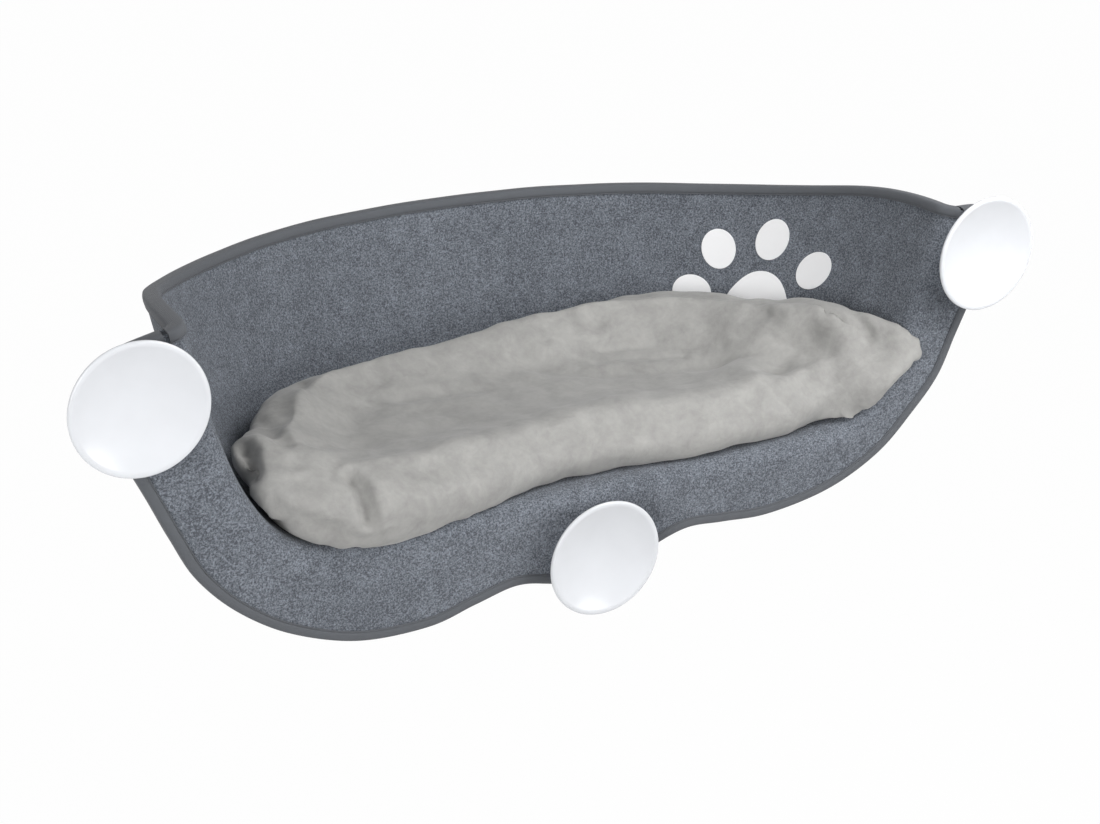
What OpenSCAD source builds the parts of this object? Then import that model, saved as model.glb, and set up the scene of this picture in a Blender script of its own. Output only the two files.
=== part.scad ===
/* [Bowl] */
// Half length of the bowl's left end along its rim
left_half_l = 260; // [250:1:275]
// Half length of the bowl's right end along its rim
right_half_l = 271; // [255:1:280]
// Depth of the bowl from the ridge to the middle of the far rim
bowl_depth = 228; // [200:4:260]
// Half length of the level floor
floor_half_l = 152; // [130:2:170]
// Depth of the level floor from the ridge
floor_depth = 160; // [140:5:175]
// Depth of the level floor below the upper stud axes
floor_drop = 120; // [100:2:124]
// Height of the left rim end above the upper stud axes
left_rim_end_z = 36; // [30:1:42]
// Height of the right rim end above the upper stud axes
right_rim_end_z = 30; // [28:1:42]
// Height of the middle of the far rim above the upper stud axes
far_rim_z = 6; // [-10:1:26]
// Radius of the rounded ridge where the bowl turns into the flange
ridge_r = 12; // [11:0.5:16]

/* [Flange] */
// Distance from the window pane to the visible felt of the flange
face_y = 18; // [18:1:24]
// Distance of the upper studs outside the longer end of the bowl
stud_gap = 24; // [22:1:34]
// Drop of the lower stud below the upper pair
lower_stud_drop = 161.5; // [155:0.5:166]
// Radius of the felt ear and of the tab round each stud
ear_r = 27; // [24:1:32]
// Drop of the left lobe below the upper studs
left_lobe_drop = 190; // [180:2:200]
// Drop of the right lobe below the upper studs
right_lobe_drop = 167; // [164:1:190]

/* [Layers] */
// Thickness of the felt on the visible face
inner_felt_t = 1.5; // [1:0.25:2.5]
// Thickness of the moulded foam core
core_t = 5; // [3.5:0.25:6]
// Thickness of the felt on the back
outer_felt_t = 1.5; // [1:0.25:2.5]
// Thickness of the binding tape
binding_t = 1.2; // [0.8:0.1:2]
// Width of the binding tape on each face
binding_w = 6; // [5:0.5:9]

/* [Board and pad] */
// Thickness of the stiff board under the pad
board_t = 3; // [2:0.5:5]
// Space between the edge of the board and the edge of the level floor
board_margin = 8; // [6:1:15]
// Space between the ridge's top and the front edge of the board
board_front_gap = 26; // [18:1:40]
// Thickness of the fleece cover of the pad
cover_t = 2.5; // [1.5:0.5:3.5]
// Space between the pad and the wall
pad_side_gap = 8; // [5:0.5:12]
// Thickness of the pad at its sunken middle
pad_mid_h = 24; // [18:1:32]
// Height of the puffed border above the seam of the pad
pad_border_h = 18; // [12:1:22]
// Depth of the folds gathered round the border
pad_fold_d = 3; // [0:0.5:4]

/* [Suction cups] */
// Diameter of each suction cup at its lip
cup_d = 80; // [70:2:84]
// Depth of the dish at its middle
cup_dish_d = 8; // [5:0.5:9]
// Thickness of the lip
lip_t = 2.6; // [2:0.2:3.4]
// Width of the flat sealing face of the lip
lip_w = 2.5; // [2:0.5:4]
// Diameter of the boss behind the cup
boss_d = 26; // [24:1:30]
// Diameter of the threaded stud
stud_d = 8; // [6:1:8]
// Pitch of the stud's thread
stud_pitch = 1.25; // [1:0.25:1.5]
// Full turns that loosen the knob from its seat to the end of its travel
knob_turns = 4; // [2:1:5]
// Length of thread that still holds the knob at the end of its travel
thread_hold = 6.5; // [5:0.5:9]

/* [Knobs] */
// Diameter of the knob over its lobes
knob_d = 32; // [28:1:34]
// Number of finger grooves round the knob
knob_grooves = 6; // [5:1:8]
// Diameter of the washer under the knob
washer_d = 24; // [20:1:28]
// Thickness of the washer
washer_t = 1.5; // [1:0.25:2.5]
// Diameter of the head and of the back ring of the eyelet
eyelet_d = 20; // [18:1:22]
// Thickness of the sheet metal of the eyelet
eyelet_t = 0.9; // [0.7:0.1:1.2]

/* [Paw ornament] */
// Thickness of the white paw patches
paw_t = 0.7; // [0.4:0.1:1]
// Angle of the paw round the bowl's wall, from its left end
paw_angle = 149; // [120:0.5:150]
// Height of the palm's middle above the floor
palm_h = 52; // [45:1:60]
// Width of the palm
palm_w = 48; // [36:2:54]
// Length of one toe
toe_l = 31; // [24:1:34]

/* [Hidden] */

// One overrun serves every cut
overrun = 1;
round_fn = 64;

// Clearances
rest_gap = 0.3;
bore_clear = 0.05;
tape_gap = 0.1;
patch_gap = 0.8;

// Heights and depths that follow from the driving sizes
floor_z = -floor_drop;
wall_mid_h = floor_drop + far_rim_z;
front_y = face_y + ridge_r;
stud_half_span = max(left_half_l, right_half_l) + stud_gap;
shell_t = inner_felt_t + core_t + outer_felt_t;

// Counts of the shell's grid: rows run down from the rim, columns from the left edge to the right edge
wall_rows = 14;
floor_rows = 4;
rows = wall_rows + floor_rows;
bowl_cols = 26;
ridge_cols = 3;
side_cols = ridge_cols + 1;
cols = 2*side_cols + bowl_cols;

// Powers that round the bowl's plan, its wall and the dip of its rim
plan_power = 2.25;
wall_power = 3.8;
lean_power = 0.75;
rim_power = 9;
row_power = 0.45;

// Edge of the flange after the ear, going down: shares of the stud half span and of the lobe's drop
left_edge_shares = [[1.007, 0.23], [0.975, 0.34], [0.938, 0.48], [0.892, 0.63], [0.814, 0.77],
    [0.705, 0.89], [0.56, 0.975], [0.4, 0.99], [0.29, 0.95], [0.19, 0.917], [0.1, 0.945]];
right_edge_shares = [[1.013, 0.23], [0.977, 0.37], [0.934, 0.545], [0.866, 0.69], [0.786, 0.826],
    [0.676, 0.928], [0.566, 0.98], [0.454, 1], [0.34, 0.985], [0.235, 0.975], [0.11, 1.05]];
// Turns of the ear's edge about its stud, from straight up towards the outside
ear_turns = [20, 55, 90, 125, 155];
// Place of the edge at the notch beside the rim end, as a share of the ridge radius
notch_share = 1.25;
// Width of the tape there, where the felt is narrow
notch_tape_w = ridge_r*(notch_share - 1);

// Unit vector and smooth curve through points
function unit(v) = v/norm(v);
function curve_at(points, place) =
    let (last = len(points) - 1,
         first = min(floor(place), last - 1),
         t = place - first,
         p0 = points[max(first - 1, 0)],
         p1 = points[first],
         p2 = points[first + 1],
         p3 = points[min(first + 2, last)])
    0.5*(2*p1 + (p2 - p0)*t + (2*p0 - 5*p1 + 4*p2 - p3)*t*t + (3*p1 - p0 - 3*p2 + p3)*t*t*t);

// Share of the way out from the floor's edge to the rim, and share of the floor's own ring
function wall_share(row) = pow(max(1 - row/wall_rows, 0), row_power);
function floor_share(row) = min((rows - row)/floor_rows, 1);

// Plan and height of the bowl at a wall share, a floor share and a turn from the left end to the right
function rim_half_l(side) = side < 0 ? left_half_l : right_half_l;
function wall_end_h(side) = floor_drop + (side < 0 ? left_rim_end_z : right_rim_end_z);
function half_l_at(wall, level, side) = level*floor_half_l + wall*(rim_half_l(side) - floor_half_l);
function depth_at(wall, level) = level*floor_depth + pow(wall, lean_power)*(bowl_depth - floor_depth);
function wall_h_at(across, side) = wall_mid_h + (wall_end_h(side) - wall_mid_h)*pow(across, rim_power);
function bowl_at(wall, level, turn, inset = 0) =
    let (side = -sign(cos(turn)),
         across = pow(abs(cos(turn)), 2/plan_power),
         back = pow(abs(sin(turn)), 2/plan_power))
    [side*across*(half_l_at(wall, level, side) - inset),
     front_y + back*(depth_at(wall, level) - inset),
     floor_z + pow(wall, wall_power)*wall_h_at(across, side)];
function bowl_point(row, turn) = bowl_at(wall_share(row), floor_share(row), turn);
function bowl_out(row, turn) =
    let (step = 180/bowl_cols,
         along = bowl_point(row, min(turn + step, 180)) - bowl_point(row, max(turn - step, 0)),
         up = bowl_point(max(row - 1, 0), turn) - bowl_point(min(row + 1, rows), turn))
    row == rows ? [0, 0, -1] : unit(cross(up, along));

// Line where the bowl meets the ridge, seen from the window, and the way out from it, with x outwards
function ridge_line(row, side) =
    [half_l_at(wall_share(row), floor_share(row), side),
     floor_z + pow(wall_share(row), wall_power)*wall_end_h(side)];
function ridge_out(row, side) =
    let (down = ridge_line(min(row + 1, rows), side) - ridge_line(max(row - 1, 0), side))
    row == rows ? [0, -1] : unit([-down[1], down[0]]);

// Edge of the flange, seen from the window, from the notch at the rim end down to the middle tab
function lobe_drop(side) = side < 0 ? left_lobe_drop : right_lobe_drop;
function lobe_guides(side) = [for (share = side < 0 ? left_edge_shares : right_edge_shares)
    [share[0]*stud_half_span, -share[1]*lobe_drop(side)]];
function edge_guides(side) =
    let (other = lobe_guides(-side), next = other[len(other) - 1])
    concat([ridge_line(0, side) + ridge_r*notch_share*ridge_out(0, side)],
        [for (turn = ear_turns) [stud_half_span + ear_r*sin(turn), ear_r*cos(turn)]],
        lobe_guides(side),
        [[0, -lower_stud_drop - ear_r], [-next[0], next[1]]]);
function edge_point(row, side) =
    let (guides = edge_guides(side), p = curve_at(guides, row*(len(guides) - 2)/rows))
    [side*p[0], p[1]];

// Flange and ridge: step 0 is the edge, step 1 the flat side of the ridge, the last step the bowl
function ridge_turn(step) = 90*(side_cols - step)/ridge_cols;
function side_point(row, step, side) =
    let (edge = edge_point(row, side),
         turn = ridge_turn(step),
         line = ridge_line(row, side) + ridge_r*(1 - cos(turn))*ridge_out(row, side))
    step == 0 ? [edge[0], face_y, edge[1]] : [side*line[0], front_y - ridge_r*sin(turn), line[1]];
function side_out(row, step, side) =
    let (turn = ridge_turn(step), out = cos(turn)*ridge_out(row, side))
    step == 0 ? [0, 1, 0] : [side*out[0], sin(turn), out[1]];

// Whole visible face of the shell and the direction through its thickness
function sheet_point(row, col) =
    col <= side_cols ? side_point(row, col, -1) :
    col >= cols - side_cols ? side_point(row, cols - col, 1) :
    bowl_point(row, (col - side_cols)*180/bowl_cols);
function sheet_out(row, col) =
    col <= side_cols ? side_out(row, col, -1) :
    col >= cols - side_cols ? side_out(row, cols - col, 1) :
    bowl_out(row, (col - side_cols)*180/bowl_cols);

// The last row folds together at the middle of the ridge, so its points are shared by left and right
function sheet_index(row, col) =
    row < rows ? row*(cols + 1) + col : rows*(cols + 1) + min(col, cols - col, side_cols);
sheet_count = rows*(cols + 1) + side_cols + 1;
function skin(depth) = concat(
    [for (row = [0:rows - 1]) for (col = [0:cols]) sheet_point(row, col) + depth*sheet_out(row, col)],
    [for (col = [0:side_cols]) sheet_point(rows, col) + depth*sheet_out(rows, col)]);
function split(a, b, c, d) = [for (face = [[a, b, c], [a, c, d]])
    if (face[0] != face[1] && face[1] != face[2] && face[2] != face[0]) face];
function flip(faces) = [for (face = faces) [face[2], face[1], face[0]]];
function shifted(face, by) = [for (index = face) index + by];
function skin_faces(base) = [for (row = [0:rows - 1]) for (col = [0:cols - 1])
    each split(base + sheet_index(row, col), base + sheet_index(row, col + 1),
        base + sheet_index(row + 1, col + 1), base + sheet_index(row + 1, col))];
function wall_faces(a, b) = split(a, a + sheet_count, b + sheet_count, b);

// One layer of the shell between two depths behind the visible face, with its three stud holes
module layer(from_depth, to_depth) {
    faces = concat(
        skin_faces(0),
        flip(skin_faces(sheet_count)),
        [for (col = [0:cols - 1]) each wall_faces(sheet_index(0, col), sheet_index(0, col + 1))],
        [for (row = [0:rows - 1]) each wall_faces(sheet_index(row + 1, 0), sheet_index(row, 0))],
        [for (row = [0:rows - 1]) each wall_faces(sheet_index(row, cols), sheet_index(row + 1, cols))]);
    difference() {
        polyhedron(concat(skin(from_depth), skin(to_depth)), faces, convexity = 6);
        for (place = stud_places) {
            at_stud(place, face_y + from_depth - overrun)
                cylinder(h = to_depth - from_depth + 2*overrun, d = barrel_d + 2*bore_clear, $fn = round_fn);
        }
    }
}

// Binding tape folded over an edge: a channel section swept along frames of place, inward and outward
function tape_section(width) = [[width, -binding_t], [0, -binding_t], [-binding_t, 0],
    [-binding_t, shell_t], [0, shell_t + binding_t], [width, shell_t + binding_t],
    [width, shell_t + tape_gap], [-tape_gap, shell_t + tape_gap], [-tape_gap, -tape_gap],
    [width, -tape_gap]];
tape_cap_faces = [[0, 1, 8], [0, 8, 9], [1, 2, 8], [2, 3, 7], [2, 7, 8], [3, 4, 7], [4, 5, 6], [4, 6, 7]];
module tape(frames) {
    corners = len(tape_section(binding_w));
    last = len(frames) - 1;
    points = [for (frame = frames) for (p = tape_section(frame[3]))
        frame[0] + p[0]*frame[1] + p[1]*frame[2]];
    sides = [for (place = [0:last - 1]) for (corner = [0:corners - 1])
        let (next = (corner + 1)%corners, a = place*corners, b = a + corners)
        each split(a + corner, a + next, b + next, b + corner)];
    caps = concat(flip(tape_cap_faces), [for (face = tape_cap_faces) shifted(face, last*corners)]);
    polyhedron(points, concat(sides, caps), convexity = 6);
}

// Frames along the rim, from the left ridge round the far wall to the right ridge
rim_frames = [for (col = [1:cols - 1])
    [sheet_point(0, col), unit(sheet_point(1, col) - sheet_point(0, col)), sheet_out(0, col), binding_w]];

// Frames along the edge of the flange, from the right notch round the bottom to the left notch
function edge_loop(place) = place <= rows ? edge_point(place, -1) : edge_point(2*rows - place, 1);
edge_frames = [for (place = [2*rows:-1:0])
    let (here = edge_loop(place),
         along = unit(edge_loop(min(place + 1, 2*rows)) - edge_loop(max(place - 1, 0))),
         width = place == 0 || place == 2*rows ? notch_tape_w : binding_w)
    [[here[0], face_y, here[1]], [-along[1], 0, along[0]], [0, 1, 0], width]];

// Places of the three studs, and a frame whose axis points into the room
stud_places = [[-stud_half_span, 0], [stud_half_span, 0], [0, -lower_stud_drop]];
module at_stud(place, y) {
    translate([place[0], y, place[1]]) rotate([-90, 0, 0]) children();
}

// Distances from the pane along a stud: boss, head, eyelet, washer, knob and tip
boss_end = face_y - eyelet_t - rest_gap;
stud_head_d = 18;
stud_head_t = 2.5;
stud_cover_t = 1.5;
stud_head_y = boss_end - stud_head_t - stud_cover_t;
back_y = face_y + shell_t;
washer_y = back_y + 2*eyelet_t + rest_gap;
knob_y = washer_y + washer_t + bore_clear;
stud_end = knob_y + knob_turns*stud_pitch + thread_hold;

// Bores and barrel of the eyelet
barrel_wall = 1.6;
stud_bore_d = stud_d + 2*rest_gap;
barrel_d = stud_bore_d + 2*barrel_wall;

// Suction cup: a dish towards the pane, a back that swells to the boss, and the stud's seat
cup_back_power = 1.15;
cup_back_steps = 10;
boss_step = 1.3;
cup_shoulder_h = boss_end - boss_step;
module cup(place) {
    cup_r = cup_d/2;
    boss_r = boss_d/2;
    dish_r = cup_r - lip_w;
    ball_r = (dish_r*dish_r + cup_dish_d*cup_dish_d)/(2*cup_dish_d);
    back = [for (step = [0:cup_back_steps])
        let (share = step/cup_back_steps)
        [cup_r - share*(cup_r - boss_r), lip_t + pow(share, cup_back_power)*(cup_shoulder_h - lip_t)]];
    color("whitesmoke") at_stud(place, 0) difference() {
        rotate_extrude($fn = round_fn)
            polygon(concat([[0, 0], [cup_r, 0]], back, [[boss_r, boss_end], [0, boss_end]]));
        translate([0, 0, cup_dish_d - ball_r]) sphere(r = ball_r, $fn = round_fn);
        translate([0, 0, stud_head_y]) cylinder(h = stud_head_t, d = stud_head_d, $fn = round_fn);
        translate([0, 0, stud_head_y])
            cylinder(h = boss_end - stud_head_y + overrun, d = stud_d, $fn = round_fn);
    }
}

module stud(place) {
    color("silver") at_stud(place, stud_head_y) {
        cylinder(h = stud_head_t, d = stud_head_d, $fn = round_fn);
        cylinder(h = stud_end - stud_head_y, d = stud_d, $fn = round_fn);
    }
}

// Sheet metal eyelet: a head on the visible face, a barrel through the shell and a rolled end
roll_w = 1.2;
module eyelet(place) {
    color("silver") at_stud(place, face_y - eyelet_t) difference() {
        union() {
            cylinder(h = eyelet_t, d = eyelet_d, $fn = round_fn);
            cylinder(h = shell_t + 3*eyelet_t, d = barrel_d, $fn = round_fn);
            translate([0, 0, shell_t + 2*eyelet_t])
                cylinder(h = eyelet_t, d = barrel_d + 2*roll_w, $fn = round_fn);
        }
        translate([0, 0, -overrun])
            cylinder(h = shell_t + 3*eyelet_t + 2*overrun, d = stud_bore_d, $fn = round_fn);
    }
}

module disc_ring(place, y, h, outer_d, inner_d) {
    at_stud(place, y) difference() {
        cylinder(h = h, d = outer_d, $fn = round_fn);
        translate([0, 0, -overrun]) cylinder(h = h + 2*overrun, d = inner_d, $fn = round_fn);
    }
}

module eyelet_ring(place) {
    color("silver") disc_ring(place, back_y, eyelet_t, eyelet_d, barrel_d + 2*bore_clear);
}

module knob_washer(place) {
    color("dimgray") disc_ring(place, washer_y, washer_t, washer_d, stud_d + 2*bore_clear);
}

// Knob with finger grooves, a collar at its seat and a blind threaded bore
stud_tip_gap = 1;
knob_cap_t = 2.5;
knob_h = stud_end - knob_y + stud_tip_gap + knob_cap_t;
collar_h = 3;
knob_edge = 1.5;
groove_r = 6;
groove_depth = 2.5;
module knob(place) {
    knob_r = knob_d/2;
    color("dimgray") at_stud(place, knob_y) difference() {
        rotate_extrude($fn = round_fn) polygon([[0, 0], [washer_d/2, 0], [washer_d/2, collar_h],
            [knob_r - knob_edge, collar_h], [knob_r, collar_h + knob_edge], [knob_r, knob_h - knob_edge],
            [knob_r - knob_edge, knob_h], [0, knob_h]]);
        for (groove = [1:knob_grooves]) {
            rotate(360*groove/knob_grooves) translate([knob_r + groove_r - groove_depth, 0, collar_h])
                cylinder(h = knob_h, r = groove_r, $fn = round_fn);
        }
        translate([0, 0, -overrun])
            cylinder(h = knob_h - knob_cap_t + overrun, d = stud_d + 2*bore_clear, $fn = round_fn);
    }
}

// Shell
module inner_felt() { color("slategray") layer(0, inner_felt_t); }
module shell_core() { color("dimgray") layer(inner_felt_t, inner_felt_t + core_t); }
module outer_felt() { color("slategray") layer(inner_felt_t + core_t, shell_t); }
module wall_binding() { color("gray") tape(rim_frames); }
module flange_binding() { color("gray") tape(edge_frames); }

// Stiff board on the level floor, with its front edge behind the ridge and out of sight under the pad
board_turns = 24;
module base_board() {
    outline = [for (step = [0:board_turns])
        let (p = bowl_at(0, 1, step*180/board_turns, board_margin))
        [p[0], max(p[1], front_y + board_front_gap)]];
    color("tan") translate([0, 0, floor_z]) linear_extrude(board_t) polygon(outline);
}

// Pad: rings between its middle and its seam, which lies low along the ridge and climbs the right wall
pad_rest_z = floor_z + board_t + rest_gap;
pad_seam_h = 8;
pad_overhang = 8;
pad_corner_r = 24;
pad_corner_power = 8;
pad_right_corner_share = 0.3;
pad_left_share = 0.62;
pad_right_share = 0.78;
pad_crest_share = 0.84;
pad_middle_share = 0.46;
pad_bottom_shares = [0.34, 0.64];
pad_top_shares = [0.97, 0.92, 0.84, 0.74, 0.6, 0.4, 0.2];
pad_back_steps = 28;
pad_front_steps = 18;
pad_steps = pad_back_steps + pad_front_steps;
pad_folds = 11;
// The border flattens towards the flap at its right front corner
pad_flap_share = 0.6;
pad_flap_steps = 5;

function pad_wall(side) = pad_left_share + (pad_right_share - pad_left_share)*pow((1 + side)/2, 2);
function ridge_h_at(x, side) =
    pow(max((x - floor_half_l)/(rim_half_l(side) - floor_half_l), 0), wall_power)*wall_end_h(side);
function raised(p) = [p[0], p[1], max(p[2], pad_rest_z + pad_seam_h)];
// The front edge draws in towards its ends, less at the right one; share runs from right to left
function pad_corner(share) =
    pad_corner_r*pow(abs(2*share - 1), pad_corner_power)*(2*share < 1 ? pad_right_corner_share : 1);
function pad_seam(step, inset) =
    let (first = bowl_at(pad_wall(-1), 1, 0, pad_side_gap + inset),
         last = bowl_at(pad_wall(1), 1, 180, pad_side_gap + inset),
         turn = 180*(step + 1/2)/pad_back_steps,
         share = (step - pad_back_steps + 1/2)/pad_front_steps,
         x = last[0] + share*(first[0] - last[0]))
    raised(step < pad_back_steps ?
        bowl_at(pad_wall(-cos(turn)), 1, turn, pad_side_gap + inset) :
        [x, front_y - pad_overhang + inset + pad_corner(share),
            floor_z + ridge_h_at(abs(x) + pad_side_gap, sign(x))]);
function pad_middle(z) = [0, front_y + pad_middle_share*depth_at(pad_left_share, 1), z];
function pad_flap(step) = 1 - pad_flap_share*max(0, 1 - abs(step - pad_back_steps)/pad_flap_steps);
function eased(t) = t*t*(3 - 2*t);
function pad_top_z(share, step, seam_z, inset) =
    let (fold = pad_fold_d*sin(pad_folds*360*step/pad_steps),
         crest_z = seam_z + pad_border_h*pad_flap(step) - inset + fold,
         mid_z = pad_rest_z + pad_mid_h - inset)
    share > pad_crest_share ?
        seam_z + (crest_z - seam_z)*sqrt(1 - pow((share - pad_crest_share)/(1 - pad_crest_share), 2)) :
        mid_z + (crest_z - mid_z)*eased(share/pad_crest_share);
function pad_ring(share, inset, top) = [for (step = [0:pad_steps - 1])
    let (seam = pad_seam(step, inset),
         p = pad_middle(0) + share*(seam - pad_middle(0)))
    [p[0], p[1], top ? pad_top_z(share, step, seam[2], inset) : pad_rest_z + inset]];
function pad_points(inset) = concat(
    [pad_middle(pad_rest_z + inset)],
    [for (share = pad_bottom_shares) each pad_ring(share, inset, false)],
    [for (step = [0:pad_steps - 1]) pad_seam(step, inset)],
    [for (share = pad_top_shares) each pad_ring(share, inset, true)],
    [pad_middle(pad_rest_z + pad_mid_h - inset)]);
pad_rings = len(pad_bottom_shares) + 1 + len(pad_top_shares);
pad_last = pad_rings*pad_steps + 1;
function pad_index(ring, step) = 1 + ring*pad_steps + step%pad_steps;
pad_faces = concat(
    [for (step = [0:pad_steps - 1]) [0, pad_index(0, step + 1), pad_index(0, step)]],
    [for (ring = [0:pad_rings - 2]) for (step = [0:pad_steps - 1])
        each split(pad_index(ring, step), pad_index(ring, step + 1),
            pad_index(ring + 1, step + 1), pad_index(ring + 1, step))],
    [for (step = [0:pad_steps - 1])
        [pad_last, pad_index(pad_rings - 1, step), pad_index(pad_rings - 1, step + 1)]]);
module pad_body(inset) { polyhedron(pad_points(inset), pad_faces, convexity = 6); }
module pad_cover() {
    color("gainsboro") difference() {
        pad_body(0);
        pad_body(cover_t);
    }
}
module pad_filling() { color("ivory") pad_body(cover_t); }

// Paw patches lie on the wall, at a turn round the bowl and a height above the floor
patch_steps = 24;
patch_rings = 2;
probe_angle = 1;
function wall_place(turn, v) =
    let (across = pow(abs(cos(turn)), 2/plan_power))
    bowl_at(pow(v/wall_h_at(across, -sign(cos(turn))), 1/wall_power), 1, turn);
function wall_along(turn, v) =
    (wall_place(turn + probe_angle, v) - wall_place(turn - probe_angle, v))/(2*probe_angle);
function wall_up(turn, v) = (wall_place(turn, v + paw_t) - wall_place(turn, v - paw_t))/(2*paw_t);
function patch_place(centre, p, height) =
    let (turn = centre[0] + p[0]/norm(wall_along(centre[0], centre[1])),
         v = centre[1] + p[1]/norm(wall_up(centre[0], centre[1])))
    wall_place(turn, v) + height*unit(cross(wall_along(turn, v), wall_up(turn, v)));
module patch(centre, outline) {
    ring = len(outline);
    spots = concat([[0, 0]], [for (step = [1:patch_rings]) for (p = outline) step/patch_rings*p]);
    count = len(spots);
    face = concat(
        [for (step = [0:ring - 1]) [0, 1 + (step + 1)%ring, 1 + step]],
        [for (level = [1:patch_rings - 1]) for (step = [0:ring - 1])
            let (a = 1 + (level - 1)*ring + step, b = 1 + (level - 1)*ring + (step + 1)%ring)
            each split(a, b, b + ring, a + ring)]);
    rim = 1 + (patch_rings - 1)*ring;
    sides = [for (step = [0:ring - 1])
        let (a = rim + step, b = rim + (step + 1)%ring) each split(a, b, b + count, a + count)];
    polyhedron(concat([for (p = spots) patch_place(centre, p, patch_gap + paw_t)],
        [for (p = spots) patch_place(centre, p, patch_gap)]),
        concat(face, flip([for (f = face) shifted(f, count)]), sides), convexity = 4);
}

// Palm: a round pad with three soft lobes; toe: an oval leaning by its own angle
palm_lobe_share = 0.07;
palm_tall_share = 0.86;
function palm_outline() = [for (step = [0:patch_steps - 1])
    let (turn = 360*step/patch_steps, r = palm_w/2*(1 + palm_lobe_share*cos(3*(turn - 90))))
    [r*cos(turn), palm_tall_share*r*sin(turn)]];
toe_w_share = 0.8;
function toe_outline(lean) = [for (step = [0:patch_steps - 1])
    let (turn = 360*step/patch_steps, u = toe_w_share*toe_l/2*cos(turn), v = toe_l/2*sin(turn))
    [u*cos(lean) - v*sin(lean), u*sin(lean) + v*cos(lean)]];
// Each toe: place from the palm's middle in palm widths, and its lean in degrees
toe_shares = [[-1.05, -0.02], [-0.79, 0.66], [-0.01, 0.9], [0.76, 0.59]];
toe_leans = [60, 30, -12, -40];
// A patch's turn and height, at a place given in palm widths from the palm's middle
function paw_place(shares) = [paw_angle + palm_w*shares[0]/norm(wall_along(paw_angle, palm_h)),
    palm_h + palm_w*shares[1]];
module paw_palm() { color("white") patch(paw_place([0, 0]), palm_outline()); }
module paw_toe(place) {
    color("white") patch(paw_place(toe_shares[place]), toe_outline(toe_leans[place]));
}
module paw_toe_1() { paw_toe(0); }
module paw_toe_2() { paw_toe(1); }
module paw_toe_3() { paw_toe(2); }
module paw_toe_4() { paw_toe(3); }

inner_felt();
shell_core();
outer_felt();
wall_binding();
flange_binding();
base_board();
pad_cover();
pad_filling();
paw_palm();
paw_toe_1();
paw_toe_2();
paw_toe_3();
paw_toe_4();
cup(stud_places[0]);  // left_cup
stud(stud_places[0]);  // left_stud
eyelet(stud_places[0]);  // left_eyelet
eyelet_ring(stud_places[0]);  // left_eyelet_ring
knob_washer(stud_places[0]);  // left_knob_washer
knob(stud_places[0]);  // left_knob
cup(stud_places[1]);  // right_cup
stud(stud_places[1]);  // right_stud
eyelet(stud_places[1]);  // right_eyelet
eyelet_ring(stud_places[1]);  // right_eyelet_ring
knob_washer(stud_places[1]);  // right_knob_washer
knob(stud_places[1]);  // right_knob
cup(stud_places[2]);  // lower_cup
stud(stud_places[2]);  // lower_stud
eyelet(stud_places[2]);  // lower_eyelet
eyelet_ring(stud_places[2]);  // lower_eyelet_ring
knob_washer(stud_places[2]);  // lower_knob_washer
knob(stud_places[2]);  // lower_knob
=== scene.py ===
"""Window mounted cat perch: felt shell, taped edges, fleece pad, cups and knobs, in a pale studio."""
import math

import bpy
import numpy as np
from mathutils import Matrix, Vector, noise
from mathutils.bvhtree import BVHTree


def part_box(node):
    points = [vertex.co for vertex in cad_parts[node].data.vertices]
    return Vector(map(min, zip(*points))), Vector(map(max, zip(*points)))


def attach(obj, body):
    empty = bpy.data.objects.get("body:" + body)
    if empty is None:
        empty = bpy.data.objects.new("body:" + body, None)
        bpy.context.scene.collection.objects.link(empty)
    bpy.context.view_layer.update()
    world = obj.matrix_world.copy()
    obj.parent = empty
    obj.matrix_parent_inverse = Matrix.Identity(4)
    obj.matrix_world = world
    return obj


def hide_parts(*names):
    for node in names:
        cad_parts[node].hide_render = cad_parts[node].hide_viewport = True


bl_info = {
    "name": "Window Cat Perch",
    "version": (1, 0, 0),
    "blender": (4, 5, 0),
    "location": "3D View > Sidebar > Perch",
    "description": "Models a felt window perch with its pad, suction cups, screw knobs and studio",
    "category": "Object",
}

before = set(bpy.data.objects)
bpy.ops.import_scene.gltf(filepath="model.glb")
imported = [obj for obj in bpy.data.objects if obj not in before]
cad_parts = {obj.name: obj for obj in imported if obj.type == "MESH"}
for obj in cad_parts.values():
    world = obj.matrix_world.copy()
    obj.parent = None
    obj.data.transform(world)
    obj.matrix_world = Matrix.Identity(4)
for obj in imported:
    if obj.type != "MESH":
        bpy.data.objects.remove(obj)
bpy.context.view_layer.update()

FIXINGS = ("left", "right", "lower")


def stud_place(side):
    """Middle of a stud, on its own axis."""
    low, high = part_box(side + "_stud")
    return (low + high) / 2


def srgb(red, green, blue):
    """A colour given as screen values from 0 to 255, made linear."""
    shares = [value / 255 for value in (red, green, blue)]
    return [s / 12.92 if s <= 0.04045 else ((s + 0.055) / 1.055) ** 2.4 for s in shares]


# Sizes and colours that a user would change

def length(name, description, default):
    return bpy.props.FloatProperty(name=name, description=description, default=default, unit="LENGTH",
                                   precision=4)


def number(name, description, default):
    return bpy.props.FloatProperty(name=name, description=description, default=default)


def count(name, description, default):
    return bpy.props.IntProperty(name=name, description=description, default=default, min=1)


def colour(name, description, default):
    return bpy.props.FloatVectorProperty(name=name, description=description, default=default,
                                         subtype="COLOR", min=0, max=1)


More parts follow.
